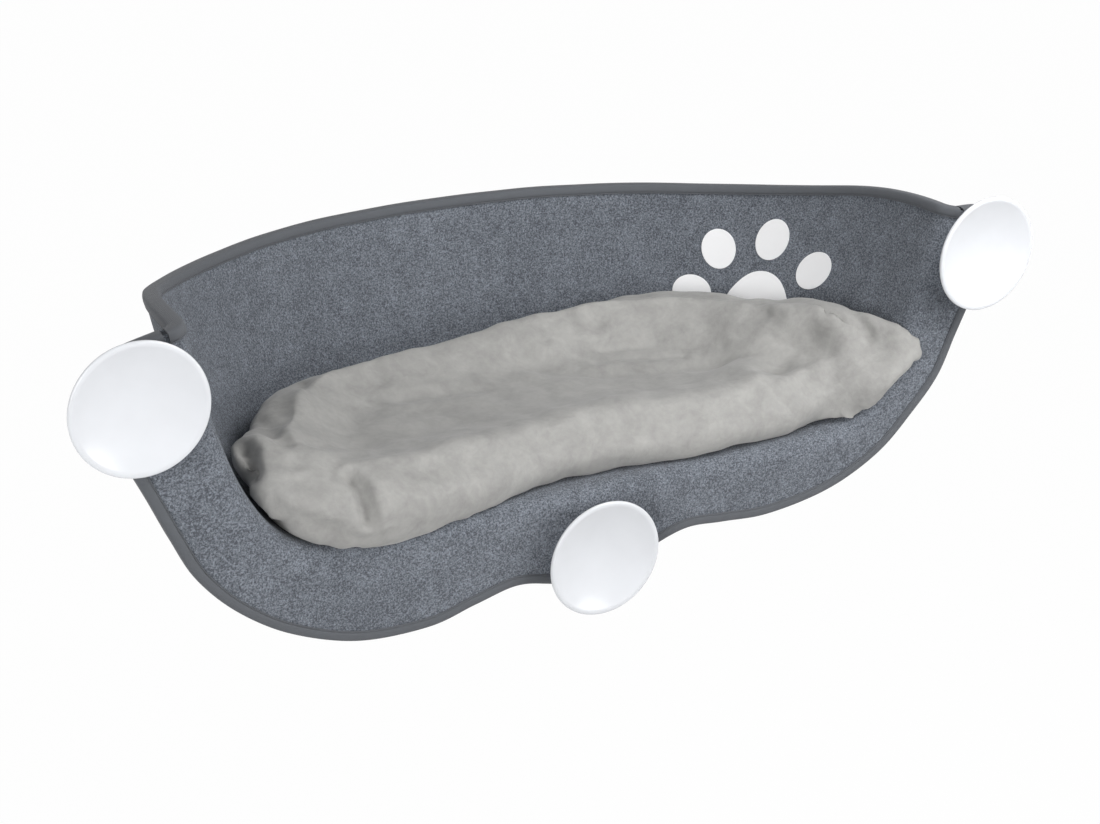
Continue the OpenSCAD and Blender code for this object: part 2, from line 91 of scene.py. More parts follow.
class ShellSizes(bpy.types.PropertyGroup):
    """The moulded felt shell."""
    left_half_length: length("Left half length", "From the middle to the bowl's left end", 0.260)
    right_half_length: length("Right half length", "From the middle to the bowl's right end", 0.271)
    bowl_depth: length("Bowl depth", "From the ridge to the middle of the far rim", 0.228)
    floor_half_length: length("Floor half length", "Half length of the level floor", 0.152)
    floor_depth: length("Floor depth", "Depth of the level floor from the ridge", 0.160)
    floor_drop: length("Floor drop", "Level floor below the upper stud axes", 0.120)
    left_rim_end: length("Left rim end", "Left rim end above the upper stud axes", 0.036)
    right_rim_end: length("Right rim end", "Right rim end above the upper stud axes", 0.030)
    far_rim: length("Far rim", "Middle of the far rim above the upper stud axes", 0.006)
    ridge_radius: length("Ridge radius", "Radius of the rounded ridge", 0.012)
    face_distance: length("Face distance", "From the pane to the visible felt of the flange", 0.018)
    ear_radius: length("Ear radius", "Radius of the felt ear round each stud", 0.027)
    left_lobe_drop: length("Left lobe drop", "Left lobe below the upper studs", 0.190)
    right_lobe_drop: length("Right lobe drop", "Right lobe below the upper studs", 0.167)
    felt: length("Felt thickness", "Thickness of each felt skin", 0.0015)
    thickness: length("Shell thickness", "Both felts and the core", 0.008)
    wobble: length("Hand of the felt", "Largest drift of the felt from its smooth form", 0.0004)
    wobble_wave: length("Wave of the drift", "Distance over which the felt drifts in and out", 0.045)
    wobble_seed: count("Seed of the drift", "Which drift is drawn, the same one at each run", 1)


class TapeSizes(bpy.types.PropertyGroup):
    """The binding tape and its seam."""
    width: length("Tape width", "Width of the tape on each face", 0.0056)
    thickness: length("Tape thickness", "Thickness of the folded tape", 0.0011)
    notch_width: length("Width at the notch", "Width of the tape beside the rim ends", 0.003)
    nose: length("Nose", "How far the fold stands out past the felt's edge", 0.0019)
    seam_inset: length("Seam inset", "From the tape's inner edge to its seam", 0.0009)
    seam_depth: length("Seam depth", "Depth of the groove pulled in by the thread", 0.0006)
    stitch: length("Stitch", "Length of one stitch", 0.0027)
    stitch_pitch: length("Stitch pitch", "From one stitch to the next", 0.0034)
    thread: length("Thread", "Thickness of the thread", 0.00045)


class PadSizes(bpy.types.PropertyGroup):
    """The loose fleece pad."""
    voxel: length("Voxel", "Size of the cloth's faces", 0.0042)
    swell: length("Swell", "Furthest that the cloth may move out as it fills", 0.006)
    settle: length("Settle", "Furthest that the cloth may draw in as it fills", 0.0015)
    pressure: number("Pressure", "Pressure of the filling on the cloth", 4.0)
    lump: length("Lump", "Height of the filling's lumps", 0.0028)
    lump_wave: length("Lump wave", "Distance between the filling's lumps", 0.055)
    clear: length("Clearance", "Least space between the pad and the felt", 0.0008)


class CupSizes(bpy.types.PropertyGroup):
    """The suction cups."""
    diameter: length("Cup diameter", "Across the lip", 0.080)
    dish: length("Dish", "Depth of the dish at its middle", 0.008)
    lip: length("Lip thickness", "Thickness of the lip", 0.0026)
    lip_width: length("Lip width", "Width of the flat sealing face", 0.0025)
    boss: length("Boss diameter", "Across the boss behind the cup", 0.026)
    shoulder: length("Shoulder", "From the end of the cup's slope to the boss's end", 0.0013)
    edge: length("Edge", "Rounding of the boss's end", 0.0006)


class MetalSizes(bpy.types.PropertyGroup):
    """The eyelets, their back rings and the washers."""
    sheet: length("Sheet", "Thickness of the eyelet's sheet", 0.0009)
    bore: length("Eyelet bore", "Radius of the eyelet's bore", 0.0043)
    barrel: length("Barrel", "Outer radius of the eyelet's barrel", 0.0059)
    roll: length("Roll", "How far the rolled end stands out past the barrel", 0.0012)
    washer_bore: length("Washer bore", "Radius of the washer's bore", 0.00405)
    ring_gap: length("Ring gap", "Between the eyelet's barrel and its back ring", 0.00005)
    edge: length("Edge", "Rounding of the edges", 0.0004)
    fine_edge: length("Fine edge", "Rounding of the back ring and of the roll's near side", 0.0003)
    mouth: length("Mouth", "Rounding of the eyelet's mouth behind", 0.0006)


class KnobSizes(bpy.types.PropertyGroup):
    """The screw knobs."""
    grooves: count("Finger grooves", "Grooves round the knob", 6)
    groove_radius: length("Groove radius", "Radius of a finger groove", 0.006)
    groove_depth: length("Groove depth", "Depth of a finger groove", 0.0025)
    collar: length("Collar", "Height of the collar under the lobes", 0.003)
    collar_radius: length("Collar radius", "Radius of the collar under the lobes", 0.012)
    bore: length("Bore", "Radius of the threaded bore", 0.00405)
    bore_margin: length("Bore margin", "From the stud's end to the bore's end", 0.001)
    hollow: length("Hollow", "Radius of the hollow in the knob's end", 0.0085)
    hollow_depth: length("Hollow depth", "Depth of the hollow in the knob's end", 0.0007)
    hollow_slope: length("Hollow slope", "How far the hollow's side leans inwards", 0.001)
    edge: length("Edge", "Rounding of the knob's edges", 0.0015)
    blend: length("Blend", "Softness of the edges beside a finger groove", 0.0008)


class Finishes(bpy.types.PropertyGroup):
    """The colours."""
    felt_dark: colour("Felt, dark fibres", "Darker fibres of the felt", srgb(71, 75, 82))
    felt_light: colour("Felt, light fibres", "Lighter fibres of the felt", srgb(136, 142, 151))
    tape: colour("Tape", "Binding tape", srgb(92, 95, 100))
    thread: colour("Thread", "Sewing thread", srgb(78, 81, 86))
    # The fleece's two tones are painted shade and painted sheen: nap turned away from the light and nap
    # that catches it, not the cloth's own colour
    fleece_nap_painted_shade: colour("Fleece, dark nap", "Nap brushed away from the light", srgb(145, 144, 142))
    fleece_nap_painted_sheen: colour("Fleece, light nap", "Nap brushed towards the light", srgb(175, 174, 171))
    patch: colour("Paw", "White paw patches", srgb(254, 254, 255))
    cup: colour("Cup", "Soft white vinyl", srgb(226, 228, 232))
    knob: colour("Knob", "Moulded plastic", srgb(52, 54, 58))
    metal: colour("Metal", "Zinc plated steel", srgb(196, 197, 199))
    board: colour("Board", "Hardboard", srgb(128, 98, 66))
    foam: colour("Foam", "Moulded foam core", srgb(84, 88, 94))


SETTINGS = {"perch_shell": ShellSizes, "perch_tape": TapeSizes, "perch_pad": PadSizes,
            "perch_cup": CupSizes, "perch_metal": MetalSizes, "perch_knob": KnobSizes,
            "perch_finish": Finishes}


def settings(name):
    return getattr(bpy.context.scene, name)


# Modelling helpers

def deselect():
    if bpy.context.mode != "OBJECT":
        bpy.ops.object.mode_set(mode="OBJECT")
    bpy.ops.object.select_all(action="DESELECT")


def pick(obj):
    deselect()
    obj.select_set(True)
    bpy.context.view_layer.objects.active = obj
    return obj


def named(obj, name):
    obj.name = name
    obj.data.name = name
    return obj


def apply_modifier(obj, kind, **values):
    """Adds a modifier, sets its values and applies it."""
    pick(obj)
    made = obj.modifiers.new(kind.title(), kind)
    for key, value in values.items():
        setattr(made, key, value)
    bpy.ops.object.modifier_apply(modifier=made.name)
    return obj


def zip_up(obj, reach=1e-5, recalculate=False):
    """Merges points that lie together and, on a closed piece, turns its faces outwards."""
    pick(obj)
    bpy.ops.object.mode_set(mode="EDIT")
    bpy.ops.mesh.select_all(action="SELECT")
    bpy.ops.mesh.remove_doubles(threshold=reach)
    if recalculate:
        bpy.ops.mesh.normals_make_consistent(inside=False)
    bpy.ops.object.mode_set(mode="OBJECT")
    return obj


def smooth(obj, degrees=40):
    pick(obj)
    bpy.ops.object.shade_smooth_by_angle(angle=math.radians(degrees))
    return obj


def grid_piece(name, columns, rows, place):
    """A grid whose points are moved to place(column, row), counted from the upper left."""
    deselect()
    bpy.ops.mesh.primitive_grid_add(x_subdivisions=columns, y_subdivisions=rows, size=1, calc_uvs=True)
    obj = named(bpy.context.object, name)
    for vertex in obj.data.vertices:
        column = round((vertex.co.x + 0.5) * columns)
        row = round((0.5 - vertex.co.y) * rows)
        vertex.co = place(column, row)
    return obj


def lathe(name, outline, axis_point, segments=96):
    """Spins an outline of (radius, distance along Y) pairs round an axis along Y and closes it."""
    centre = Vector((axis_point.x, 0, axis_point.z))
    deselect()
    bpy.ops.mesh.primitive_plane_add(size=0.001, location=centre)
    obj = named(bpy.context.object, name)
    bpy.ops.object.transform_apply(location=True, rotation=True, scale=True)
    bpy.ops.object.mode_set(mode="EDIT")
    bpy.ops.mesh.select_all(action="SELECT")
    bpy.ops.mesh.merge(type="CENTER")
    radius, along = outline[0]
    bpy.ops.transform.translate(value=(radius, along, 0))
    for (radius, along), (next_radius, next_along) in zip(outline, outline[1:]):
        move = (next_radius - radius, next_along - along, 0)
        bpy.ops.mesh.extrude_vertices_move(TRANSFORM_OT_translate={"value": move})
    bpy.ops.mesh.select_all(action="SELECT")
    bpy.ops.mesh.spin(steps=segments, angle=math.tau, center=centre, axis=(0, 1, 0))
    return zip_up(obj, recalculate=True)


def rounded(corners, steps=5):
    """An outline whose corners, given as (radius, along, rounding), are turned into arcs."""
    points = []
    for index, (x, y, rounding) in enumerate(corners):
        here = Vector((x, y))
        if rounding == 0:
            points.append(here)
            continue
        before = Vector(corners[index - 1][:2]) - here
        after = Vector(corners[(index + 1) % len(corners)][:2]) - here
        half = before.angle(after) / 2
        inset = rounding / math.tan(half)
        start = here + before.normalized() * inset
        end = here + after.normalized() * inset
        inwards = (before.normalized() + after.normalized()).normalized()
        middle = here + inwards * (rounding / math.sin(half))
        first = start - middle
        turn = first.angle_signed(end - middle)
        for step in range(steps + 1):
            points.append(middle + Matrix.Rotation(-turn * step / steps, 2) @ first)
    return [tuple(point) for point in points]


def scatter(name, template, places):
    """One mesh that holds a copy of the template at each place."""
    verts = np.array([tuple(v.co) for v in template.data.vertices])
    faces = [tuple(p.vertices) for p in template.data.polygons]
    all_verts, all_faces = [], []
    for copy, place in enumerate(places):
        turn = np.array(place.to_3x3())
        all_verts.append(verts @ turn.T + np.array(place.translation))
        all_faces += [tuple(corner + copy * len(verts) for corner in face) for face in faces]
    mesh = bpy.data.meshes.new(name)
    mesh.from_pydata(np.concatenate(all_verts).tolist(), [], all_faces)
    obj = bpy.data.objects.new(name, mesh)
    bpy.context.scene.collection.objects.link(obj)
    bpy.data.objects.remove(template)
    return smooth(obj, 80)


def basis(place, x, y, z):
    """A matrix with the given place and directions."""
    matrix = Matrix((x, y, z)).transposed().to_4x4()
    matrix.translation = place
    return matrix


def spline(p0, p1, p2, p3, t):
    """A smooth curve from p1 to p2, at a share t of the way, with the neighbours before and after."""
    return 0.5 * (2 * p1 + (p2 - p0) * t + (2 * p0 - 5 * p1 + 4 * p2 - p3) * t * t
                  + (3 * p1 - p0 - 3 * p2 + p3) * t ** 3)


def curve_at(points, place):
    """A smooth curve through the points, at a place counted in points."""
    last = len(points) - 1
    first = min(int(place), last - 1)
    near = [points[min(max(first + step, 0), last)] for step in (-1, 0, 1, 2)]
    return spline(*near, place - first)


def even_steps(places, point_at, step):
    """Places along a path that lie evenly, a step apart, and how far along it each one lies."""
    points = [point_at(place) for place in places]
    run = np.concatenate([[0], np.cumsum([(b - a).length for a, b in zip(points, points[1:])])])
    even = np.linspace(0, run[-1], int(run[-1] / step) + 1)
    return np.interp(even, run, places).tolist(), even.tolist()


def finish(obj, material, body, slot, *nodes):
    """Gives a piece its material and its body, and hides the nodes that it stands for; the slot is not
    used.
    """
    obj.data.materials.clear()
    obj.data.materials.append(material)
    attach(obj, body)
    if nodes:
        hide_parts(*nodes)
    return obj


# Felt shell as a surface: rows run down from the rim, and across runs from the left edge to the right edge

class FeltShell:
    """Bowl, ridge and flange in one sheet, by the same rules as the frame's own shell."""
    wall_rows, floor_rows = 14, 4
    rows = wall_rows + floor_rows
    plan_power, wall_power, lean_power, rim_power, row_power = 2.25, 3.8, 0.75, 9, 0.45
    notch_share = 1.25
    row_reach, last_margin, face_reach = 0.25, 0.01, 0.02
    ear_turns = [20, 55, 90, 125, 155]
    left_shares = [(1.007, 0.23), (0.975, 0.34), (0.938, 0.48), (0.892, 0.63), (0.814, 0.77),
                   (0.705, 0.89), (0.56, 0.975), (0.4, 0.99), (0.29, 0.95), (0.19, 0.917), (0.1, 0.945)]
    right_shares = [(1.013, 0.23), (0.977, 0.37), (0.934, 0.545), (0.866, 0.69), (0.786, 0.826),
                    (0.676, 0.928), (0.566, 0.98), (0.454, 1), (0.34, 0.985), (0.235, 0.975), (0.11, 1.05)]

    def __init__(self):
        self.size = settings("perch_shell")
        noise.seed_set(self.size.wobble_seed)
        self.front_y = self.size.face_distance + self.size.ridge_radius
        self.floor_z = -self.size.floor_drop
        self.stud_half_span = stud_place("right").x
        self.lower_drop = -stud_place("lower").z
        self.guides = {side: self.edge_guides(side) for side in (-1, 1)}

    def half_length(self, side):
        return self.size.left_half_length if side < 0 else self.size.right_half_length

    def wall_end(self, side):
        return self.size.floor_drop + (self.size.left_rim_end if side < 0 else self.size.right_rim_end)

    def wall_share(self, row):
        return max(1 - row / self.wall_rows, 0) ** self.row_power

    def floor_share(self, row):
        return min((self.rows - row) / self.floor_rows, 1)

    def wall_height(self, across, side):
        middle = self.size.floor_drop + self.size.far_rim
        return middle + (self.wall_end(side) - middle) * across ** self.rim_power

    def bowl(self, wall, level, turn, inset=0.0):
        """Point of the bowl at a share of the way up the wall and a turn in radians from the left end."""
        side = -1 if math.cos(turn) > 0 else 1
        across = abs(math.cos(turn)) ** (2 / self.plan_power)
        back = abs(math.sin(turn)) ** (2 / self.plan_power)
        floor_l, floor_d = self.size.floor_half_length, self.size.floor_depth
        half_length = level * floor_l + wall * (self.half_length(side) - floor_l)
        depth = level * floor_d + wall ** self.lean_power * (self.size.bowl_depth - floor_d)
        return Vector((side * across * (half_length - inset), self.front_y + back * (depth - inset),
                       self.floor_z + wall ** self.wall_power * self.wall_height(across, side)))

    def ridge_line(self, row, side):
        wall, level = self.wall_share(row), self.floor_share(row)
        floor_l = self.size.floor_half_length
        return Vector((level * floor_l + wall * (self.half_length(side) - floor_l),
                       self.floor_z + wall ** self.wall_power * self.wall_end(side)))

    def ridge_out(self, row, side):
        if row >= self.rows - self.last_margin:
            return Vector((0, -1))
        reach = min(self.row_reach, self.rows - row)
        down = self.ridge_line(row + reach, side) - self.ridge_line(max(row - reach, 0), side)
        return Vector((-down.y, down.x)).normalized()

    def edge_guides(self, side):
        def lobe(which):
            shares = self.left_shares if which < 0 else self.right_shares
            drop = self.size.left_lobe_drop if which < 0 else self.size.right_lobe_drop
            return [Vector((x * self.stud_half_span, -z * drop)) for x, z in shares]
        radius = self.size.ear_radius
        notch_reach = self.size.ridge_radius * self.notch_share
        notch = self.ridge_line(0, side) + notch_reach * self.ridge_out(0, side)
        ear = [Vector((self.stud_half_span + radius * math.sin(math.radians(turn)),
                       radius * math.cos(math.radians(turn)))) for turn in self.ear_turns]
        other = lobe(-side)[-1]
        tab = Vector((0, -self.lower_drop - radius))
        return [notch] + ear + lobe(side) + [tab, Vector((-other.x, other.y))]

    def edge(self, row, side):
        guides = self.guides[side]
        return curve_at(guides, row * (len(guides) - 2) / self.rows)

    def side_point(self, row, step, side):
        turn = math.pi / 2 * min(2 - step, 1)
        radius = self.size.ridge_radius
        line = self.ridge_line(row, side) + radius * (1 - math.cos(turn)) * self.ridge_out(row, side)
        if step < 1:
            line = self.edge(row, side).lerp(line, step)
        return Vector((side * line.x, self.front_y - radius * math.sin(turn), line.y))

    def smooth_point(self, row, across):
        if across <= 2:
            return self.side_point(row, across, -1)
        if across >= 3:
            return self.side_point(row, 5 - across, 1)
        return self.bowl(self.wall_share(row), self.floor_share(row), (across - 2) * math.pi)

    def drift(self, point):
        """The felt's small drift from its smooth form."""
        return noise.noise_vector(point / self.size.wobble_wave) * self.size.wobble

    def point(self, row, across):
        smooth_place = self.smooth_point(row, across)
        return smooth_place + self.drift(smooth_place)

    def visible_side(self, row, across):
        """Direction from the felt's visible face towards the viewer's side of it."""
        reach = self.face_reach
        left, right = max(across - reach, 0), min(across + reach, 5)
        along = self.smooth_point(row, right) - self.smooth_point(row, left)
        up = self.smooth_point(max(row - reach, 0), across) - self.smooth_point(row + reach, across)
        return along.cross(up).normalized()

    def even_rows(self, wall_steps, floor_steps):
        """Rows that lie evenly down the wall, and then evenly over the floor."""
        share = np.linspace(1, 0, 400)
        out = share * (self.size.left_half_length - self.size.floor_half_length)
        up = share ** self.wall_power * (self.size.floor_drop + self.size.far_rim)
        run = np.concatenate([[0], np.cumsum(np.hypot(np.diff(out), np.diff(up)))])
        even = np.interp(np.linspace(0, run[-1], wall_steps + 1), run, share)
        wall = self.wall_rows * (1 - even ** (1 / self.row_power))
        return list(wall) + [self.wall_rows + self.floor_rows * (step + 1) / floor_steps
                             for step in range(floor_steps)]

    def even_columns(self, flange_steps, ridge_steps, bowl_steps):
        flange = [step / flange_steps for step in range(flange_steps)]
        ridge = [1 + step / ridge_steps for step in range(ridge_steps)]
        bowl = [2 + step / bowl_steps for step in range(bowl_steps)]
        left = flange + ridge
        return left + bowl + [5 - place for place in reversed(left + [2.0])]

    def wall_place(self, turn, height):
        """Point of the wall at a turn in radians and a height above the floor."""
        across = abs(math.cos(turn)) ** (2 / self.plan_power)
        side = -1 if math.cos(turn) > 0 else 1
        wall = (height / self.wall_height(across, side)) ** (1 / self.wall_power)
        return self.bowl(wall, 1, turn)


# The felt's bore, as a share of the stud's radius
FELT_BORE_SHARE = 0.7


def cut_bore(obj, side):
    """Cuts the felt for an eyelet."""
    low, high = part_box(side + "_eyelet")
    stud_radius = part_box(side + "_stud")[1].x - stud_place(side).x
    deselect()
    bpy.ops.mesh.primitive_cylinder_add(vertices=64, radius=stud_radius * FELT_BORE_SHARE,
                                        depth=2 * (high.y - low.y), location=(low + high) / 2,
                                        rotation=(math.pi / 2, 0, 0))
    cutter = bpy.context.object
    apply_modifier(obj, "BOOLEAN", operation="DIFFERENCE", object=cutter, solver="EXACT")
    bpy.data.objects.remove(cutter)


def felt_sheet(name, depth):
    """One felt skin whose visible face lies at a depth behind the shell's visible face."""
    shell = FeltShell()
    rows = shell.even_rows(wall_steps=60, floor_steps=22)
    columns = shell.even_columns(flange_steps=10, ridge_steps=8, bowl_steps=120)
    spots = {}

    def place(column, row):
        if (column, row) not in spots:
            spots[column, row] = shell.point(rows[row], columns[column])
        return spots[column, row]
    obj = grid_piece(name, len(columns) - 1, len(rows) - 1, place)
    zip_up(obj)
    if depth:
        normals = [vertex.normal.copy() for vertex in obj.data.vertices]
        for vertex, normal in zip(obj.data.vertices, normals):
            vertex.co = vertex.co - depth * normal
    apply_modifier(obj, "SOLIDIFY", thickness=shell.size.felt, offset=-1, use_even_offset=True)
    for side in FIXINGS:
        cut_bore(obj, side)
    return smooth(obj, 50)


class PERCH_OT_shell(bpy.types.Operator):
    """Models the two felt skins of the shell"""
    bl_idname = "perch.shell"
    bl_label = "Felt skins"

    def execute(self, context):
        size = settings("perch_shell")
        felt = felt_material()
        finish(felt_sheet("visible_felt", 0), felt, "shell", "felt", "inner_felt")
        finish(felt_sheet("back_felt", size.thickness - size.felt), felt, "shell", "felt", "outer_felt")
        return {"FINISHED"}


# Tape's face from its inner edge over the seam, in shares of seam inset, thickness and seam depth, and then
# its crown up to the fold, in shares of width and thickness
TAPE_SEAM_SHARES = ((0, 0.6, 0), (0.2, 0.92, 0), (0.55, 1, 0), (0.8, 1, 0.3), (1, 1, 1), (1.2, 1, 0.3),
                    (1.5, 1.05, 0))
TAPE_CROWN_SHARES = ((0.45, 1.2), (0.2, 1.15), (0, 0.95))
TAPE_GAP_SHARE = 0.1
TAPE_INNER_SHARE = 0.4
TAPE_FOLD_POWER = 0.7
TAPE_FOLD_STEPS = 8
TAPE_STEP = 0.0025
TAPE_TAPER = 0.02
PATH_SAMPLES = {"rim": 1200, "flange": 1600}
RIM_REACH = 0.3
FLANGE_REACH = 0.05
TAPE_SECTION_UV = 0.001
THREAD_SHOW_SHARE = 0.2


def tape_outline(width):
    """Section of the folded tape: distance inwards from the felt's edge, height over the visible face."""
    tape = settings("perch_tape")
    thick, seam, depth = tape.thickness, tape.seam_inset, tape.seam_depth
    through = settings("perch_shell").thickness
    gap = TAPE_GAP_SHARE * thick
    seam = min(seam, width / 3)
    face = [(width, gap)]
    face += [(width - back * seam, up * thick - down * depth) for back, up, down in TAPE_SEAM_SHARES]
    face += [(inward * width, up * thick) for inward, up in TAPE_CROWN_SHARES]
    fold_half = through / 2 + face[-1][1]
    nose = []
    for step in range(1, TAPE_FOLD_STEPS):
        turn = math.pi * step / TAPE_FOLD_STEPS
        nose.append((-tape.nose * math.sin(turn) ** TAPE_FOLD_POWER,
                     -through / 2 + fold_half * math.cos(turn)))
    back = [(inward, -through - height) for inward, height in reversed(face)]
    inner = -TAPE_INNER_SHARE * tape.nose
    return face + nose + back + [(inner, -through - gap), (inner, gap)]


def swept_tape(name, frames, runs):
    """Sweeps the tape's section along frames of place, inward way, outward way and width."""
    sections = [tape_outline(entry[3]) for entry in frames]
    around = len(sections[0])

    def place(column, row):
        spot, inward, outward, _ = frames[column]
        across, height = sections[column][row % around]
        return spot + across * inward + height * outward
    obj = grid_piece(name, len(frames) - 1, around, place)
    layer = obj.data.uv_layers.active.data
    for loop in obj.data.loops:
        u, v = layer[loop.index].uv
        layer[loop.index].uv = (runs[round(u * (len(frames) - 1))], v * around * TAPE_SECTION_UV)
    zip_up(obj)
    pick(obj)
    bpy.ops.object.mode_set(mode="EDIT")
    bpy.ops.mesh.select_all(action="DESELECT")
    bpy.ops.mesh.select_non_manifold()
    bpy.ops.mesh.fill()
    bpy.ops.mesh.select_all(action="SELECT")
    bpy.ops.mesh.normals_make_consistent(inside=False)
    bpy.ops.object.mode_set(mode="OBJECT")
    return smooth(obj, 60)


def stitches(name, frames, runs):
    """A row of stitches in the tape's seam, on the visible face and on the back."""
    tape = settings("perch_tape")
    through = settings("perch_shell").thickness
    deselect()
    bpy.ops.mesh.primitive_uv_sphere_add(segments=8, ring_count=6, radius=0.5)
    template = bpy.context.object
    template.scale = (tape.stitch, tape.thread, tape.thread)
    bpy.ops.object.transform_apply(location=False, rotation=False, scale=True)
    places = []
    height = tape.thickness - tape.seam_depth + THREAD_SHOW_SHARE * tape.thread
    for run in np.arange(2 * tape.stitch_pitch, runs[-1] - 2 * tape.stitch_pitch, tape.stitch_pitch):
        index = min(int(np.searchsorted(runs, run)), len(runs) - 1)
        share = float((run - runs[index - 1]) / (runs[index] - runs[index - 1]))
        before, after = frames[index - 1], frames[index]
        spot = before[0].lerp(after[0], share)
        inward = before[1].lerp(after[1], share).normalized()
        outward = before[2].lerp(after[2], share).normalized()
        width = before[3] + (after[3] - before[3]) * share
        line = spot + float(width - min(tape.seam_inset, width / 3)) * inward
        along = (after[0] - before[0]).normalized()
        places.append(basis(line + height * outward, along, inward, outward))
        places.append(basis(line - (through + height) * outward, along, inward, outward))
    return scatter(name, template, places)


def rim_frames():
    """Frames along the bowl's rim, from the left notch round the far wall to the right notch."""
    shell, tape = FeltShell(), settings("perch_tape")
    samples = np.linspace(1, 4, PATH_SAMPLES["rim"])
    places, runs = even_steps(samples, lambda across: shell.point(0, across), TAPE_STEP)
    frames = []
    for across in places:
        spot = shell.point(0, across)
        inward = (shell.point(RIM_REACH, across) - spot).normalized()
        outward = shell.visible_side(0, across)
        outward = (outward - outward.dot(inward) * inward).normalized()
        frames.append((spot, inward, outward, tape.width))
    return frames, runs


def flange_frames():
    """Frames along the flange's edge, from the right notch round the bottom to the left notch."""
    shell, tape = FeltShell(), settings("perch_tape")
    rows = shell.rows

    def spot_at(place):
        side = 1 if place < rows else -1
        edge = shell.edge(place if side > 0 else 2 * rows - place, side)
        spot = Vector((side * edge.x, shell.size.face_distance, edge.y))
        return spot + shell.drift(spot)
    samples = np.linspace(0, 2 * rows, PATH_SAMPLES["flange"])
    places, runs = even_steps(samples, spot_at, TAPE_STEP)
    frames = []
    for index, place in enumerate(places):
        before, after = max(place - FLANGE_REACH, 0), min(place + FLANGE_REACH, 2 * rows)
        along = (spot_at(after) - spot_at(before)).normalized()
        inward = Vector((along.z, 0, -along.x)).normalized()
        share = float(min(runs[index], runs[-1] - runs[index], TAPE_TAPER)) / TAPE_TAPER
        width = tape.notch_width + (tape.width - tape.notch_width) * share
        frames.append((spot_at(place), inward, Vector((0, -1, 0)), width))
    return frames, runs


class PERCH_OT_tape(bpy.types.Operator):
    """Models the binding tape of the rim and of the flange, with its stitches"""
    bl_idname = "perch.tape"
    bl_label = "Binding tape"

    def execute(self, context):
        tape, thread = tape_material(), thread_material()
        for name, node, (frames, runs) in (("rim_tape", "wall_binding", rim_frames()),
                                           ("flange_tape", "flange_binding", flange_frames())):
            finish(swept_tape(name, frames, runs), tape, "shell", "binding", node)
            finish(stitches(name + "_stitches", frames, runs), thread, "shell", "binding")
        return {"FINISHED"}


# Paw patches

PALM_WIDTH = 0.048
PALM_HEIGHT = 0.052
PALM_TALL_SHARE = 0.86
PALM_LOBE_SHARE = 0.07
TOE_LENGTH = 0.031
TOE_WIDTH_SHARE = 0.8
PAW_TURN = math.radians(149)
PATCH_THICKNESS = 0.0007
TOE_PLACES = ((-1.05, -0.02), (-0.79, 0.66), (-0.01, 0.9), (0.76, 0.59))
TOE_LEANS = (60, 30, -12, -40)
# A patch is a pressed ball: its sides follow one power up to a height on the ball, and its faces lie above
PRESS_POWER = 0.22
SIDE_POWER = 12
SIDE_HEIGHT = 0.35
FACE_POWER = 2.6
# Middle of the patch over the felt, and half its height, as shares of its thickness
PATCH_MIDDLE_SHARE = 0.55
PATCH_HALF_SHARE = 0.5
TURN_STEP = 0.01
HEIGHT_STEP = 0.001


def pressed(radius, height):
    """A point of a ball of radius 1, pressed flat: how far out it comes to lie, and how high."""
    up = math.copysign(abs(height) ** PRESS_POWER, height)
    if abs(height) < SIDE_HEIGHT:
        return (1 - abs(up) ** SIDE_POWER) ** 0.25, up
    face_edge = (1 - SIDE_HEIGHT ** FACE_POWER) ** 0.25
    return min(radius / math.sqrt(1 - SIDE_HEIGHT ** 2) * face_edge, 1), up


def paw_patch(name, across, up, outline):
    """A thin patch with rounded edges on the wall; outline gives its radius pair for a direction."""
    shell = FeltShell()
    deselect()
    bpy.ops.mesh.primitive_uv_sphere_add(segments=72, ring_count=40, radius=1)
    obj = named(bpy.context.object, name)

    def rates(turn, height):
        left, right = (shell.wall_place(turn + move, height) for move in (-TURN_STEP, TURN_STEP))
        low, high = (shell.wall_place(turn, height + move) for move in (-HEIGHT_STEP, HEIGHT_STEP))
        return (right - left) / (2 * TURN_STEP), (high - low) / (2 * HEIGHT_STEP)
    palm_rate = rates(PAW_TURN, PALM_HEIGHT)[0].length
    centre_turn = PAW_TURN + PALM_WIDTH * across / palm_rate
    centre_height = PALM_HEIGHT + PALM_WIDTH * up
    along_rate, rise_rate = (rate.length for rate in rates(centre_turn, centre_height))
    for vertex in obj.data.vertices:
        reach, raised = pressed(math.hypot(vertex.co.x, vertex.co.y), vertex.co.z)
        x, y = outline(math.atan2(vertex.co.y, vertex.co.x))
        turn = centre_turn + reach * x / along_rate
        height = centre_height + reach * y / rise_rate
        rate_along, rate_up = rates(turn, height)
        normal = rate_along.cross(rate_up).normalized()
        spot = shell.wall_place(turn, height)
        lift = PATCH_THICKNESS * (PATCH_MIDDLE_SHARE + PATCH_HALF_SHARE * raised)
        vertex.co = spot + shell.drift(spot) + normal * lift
    zip_up(obj, 1e-7)
    return smooth(obj, 60)


def palm_outline(direction):
    radius = PALM_WIDTH / 2 * (1 + PALM_LOBE_SHARE * math.cos(3 * (direction - math.pi / 2)))
    return radius * math.cos(direction), PALM_TALL_SHARE * radius * math.sin(direction)


def toe_outline(lean):
    def outline(direction):
        u = TOE_WIDTH_SHARE * TOE_LENGTH / 2 * math.cos(direction)
        v = TOE_LENGTH / 2 * math.sin(direction)
        return u * math.cos(lean) - v * math.sin(lean), u * math.sin(lean) + v * math.cos(lean)
    return outline


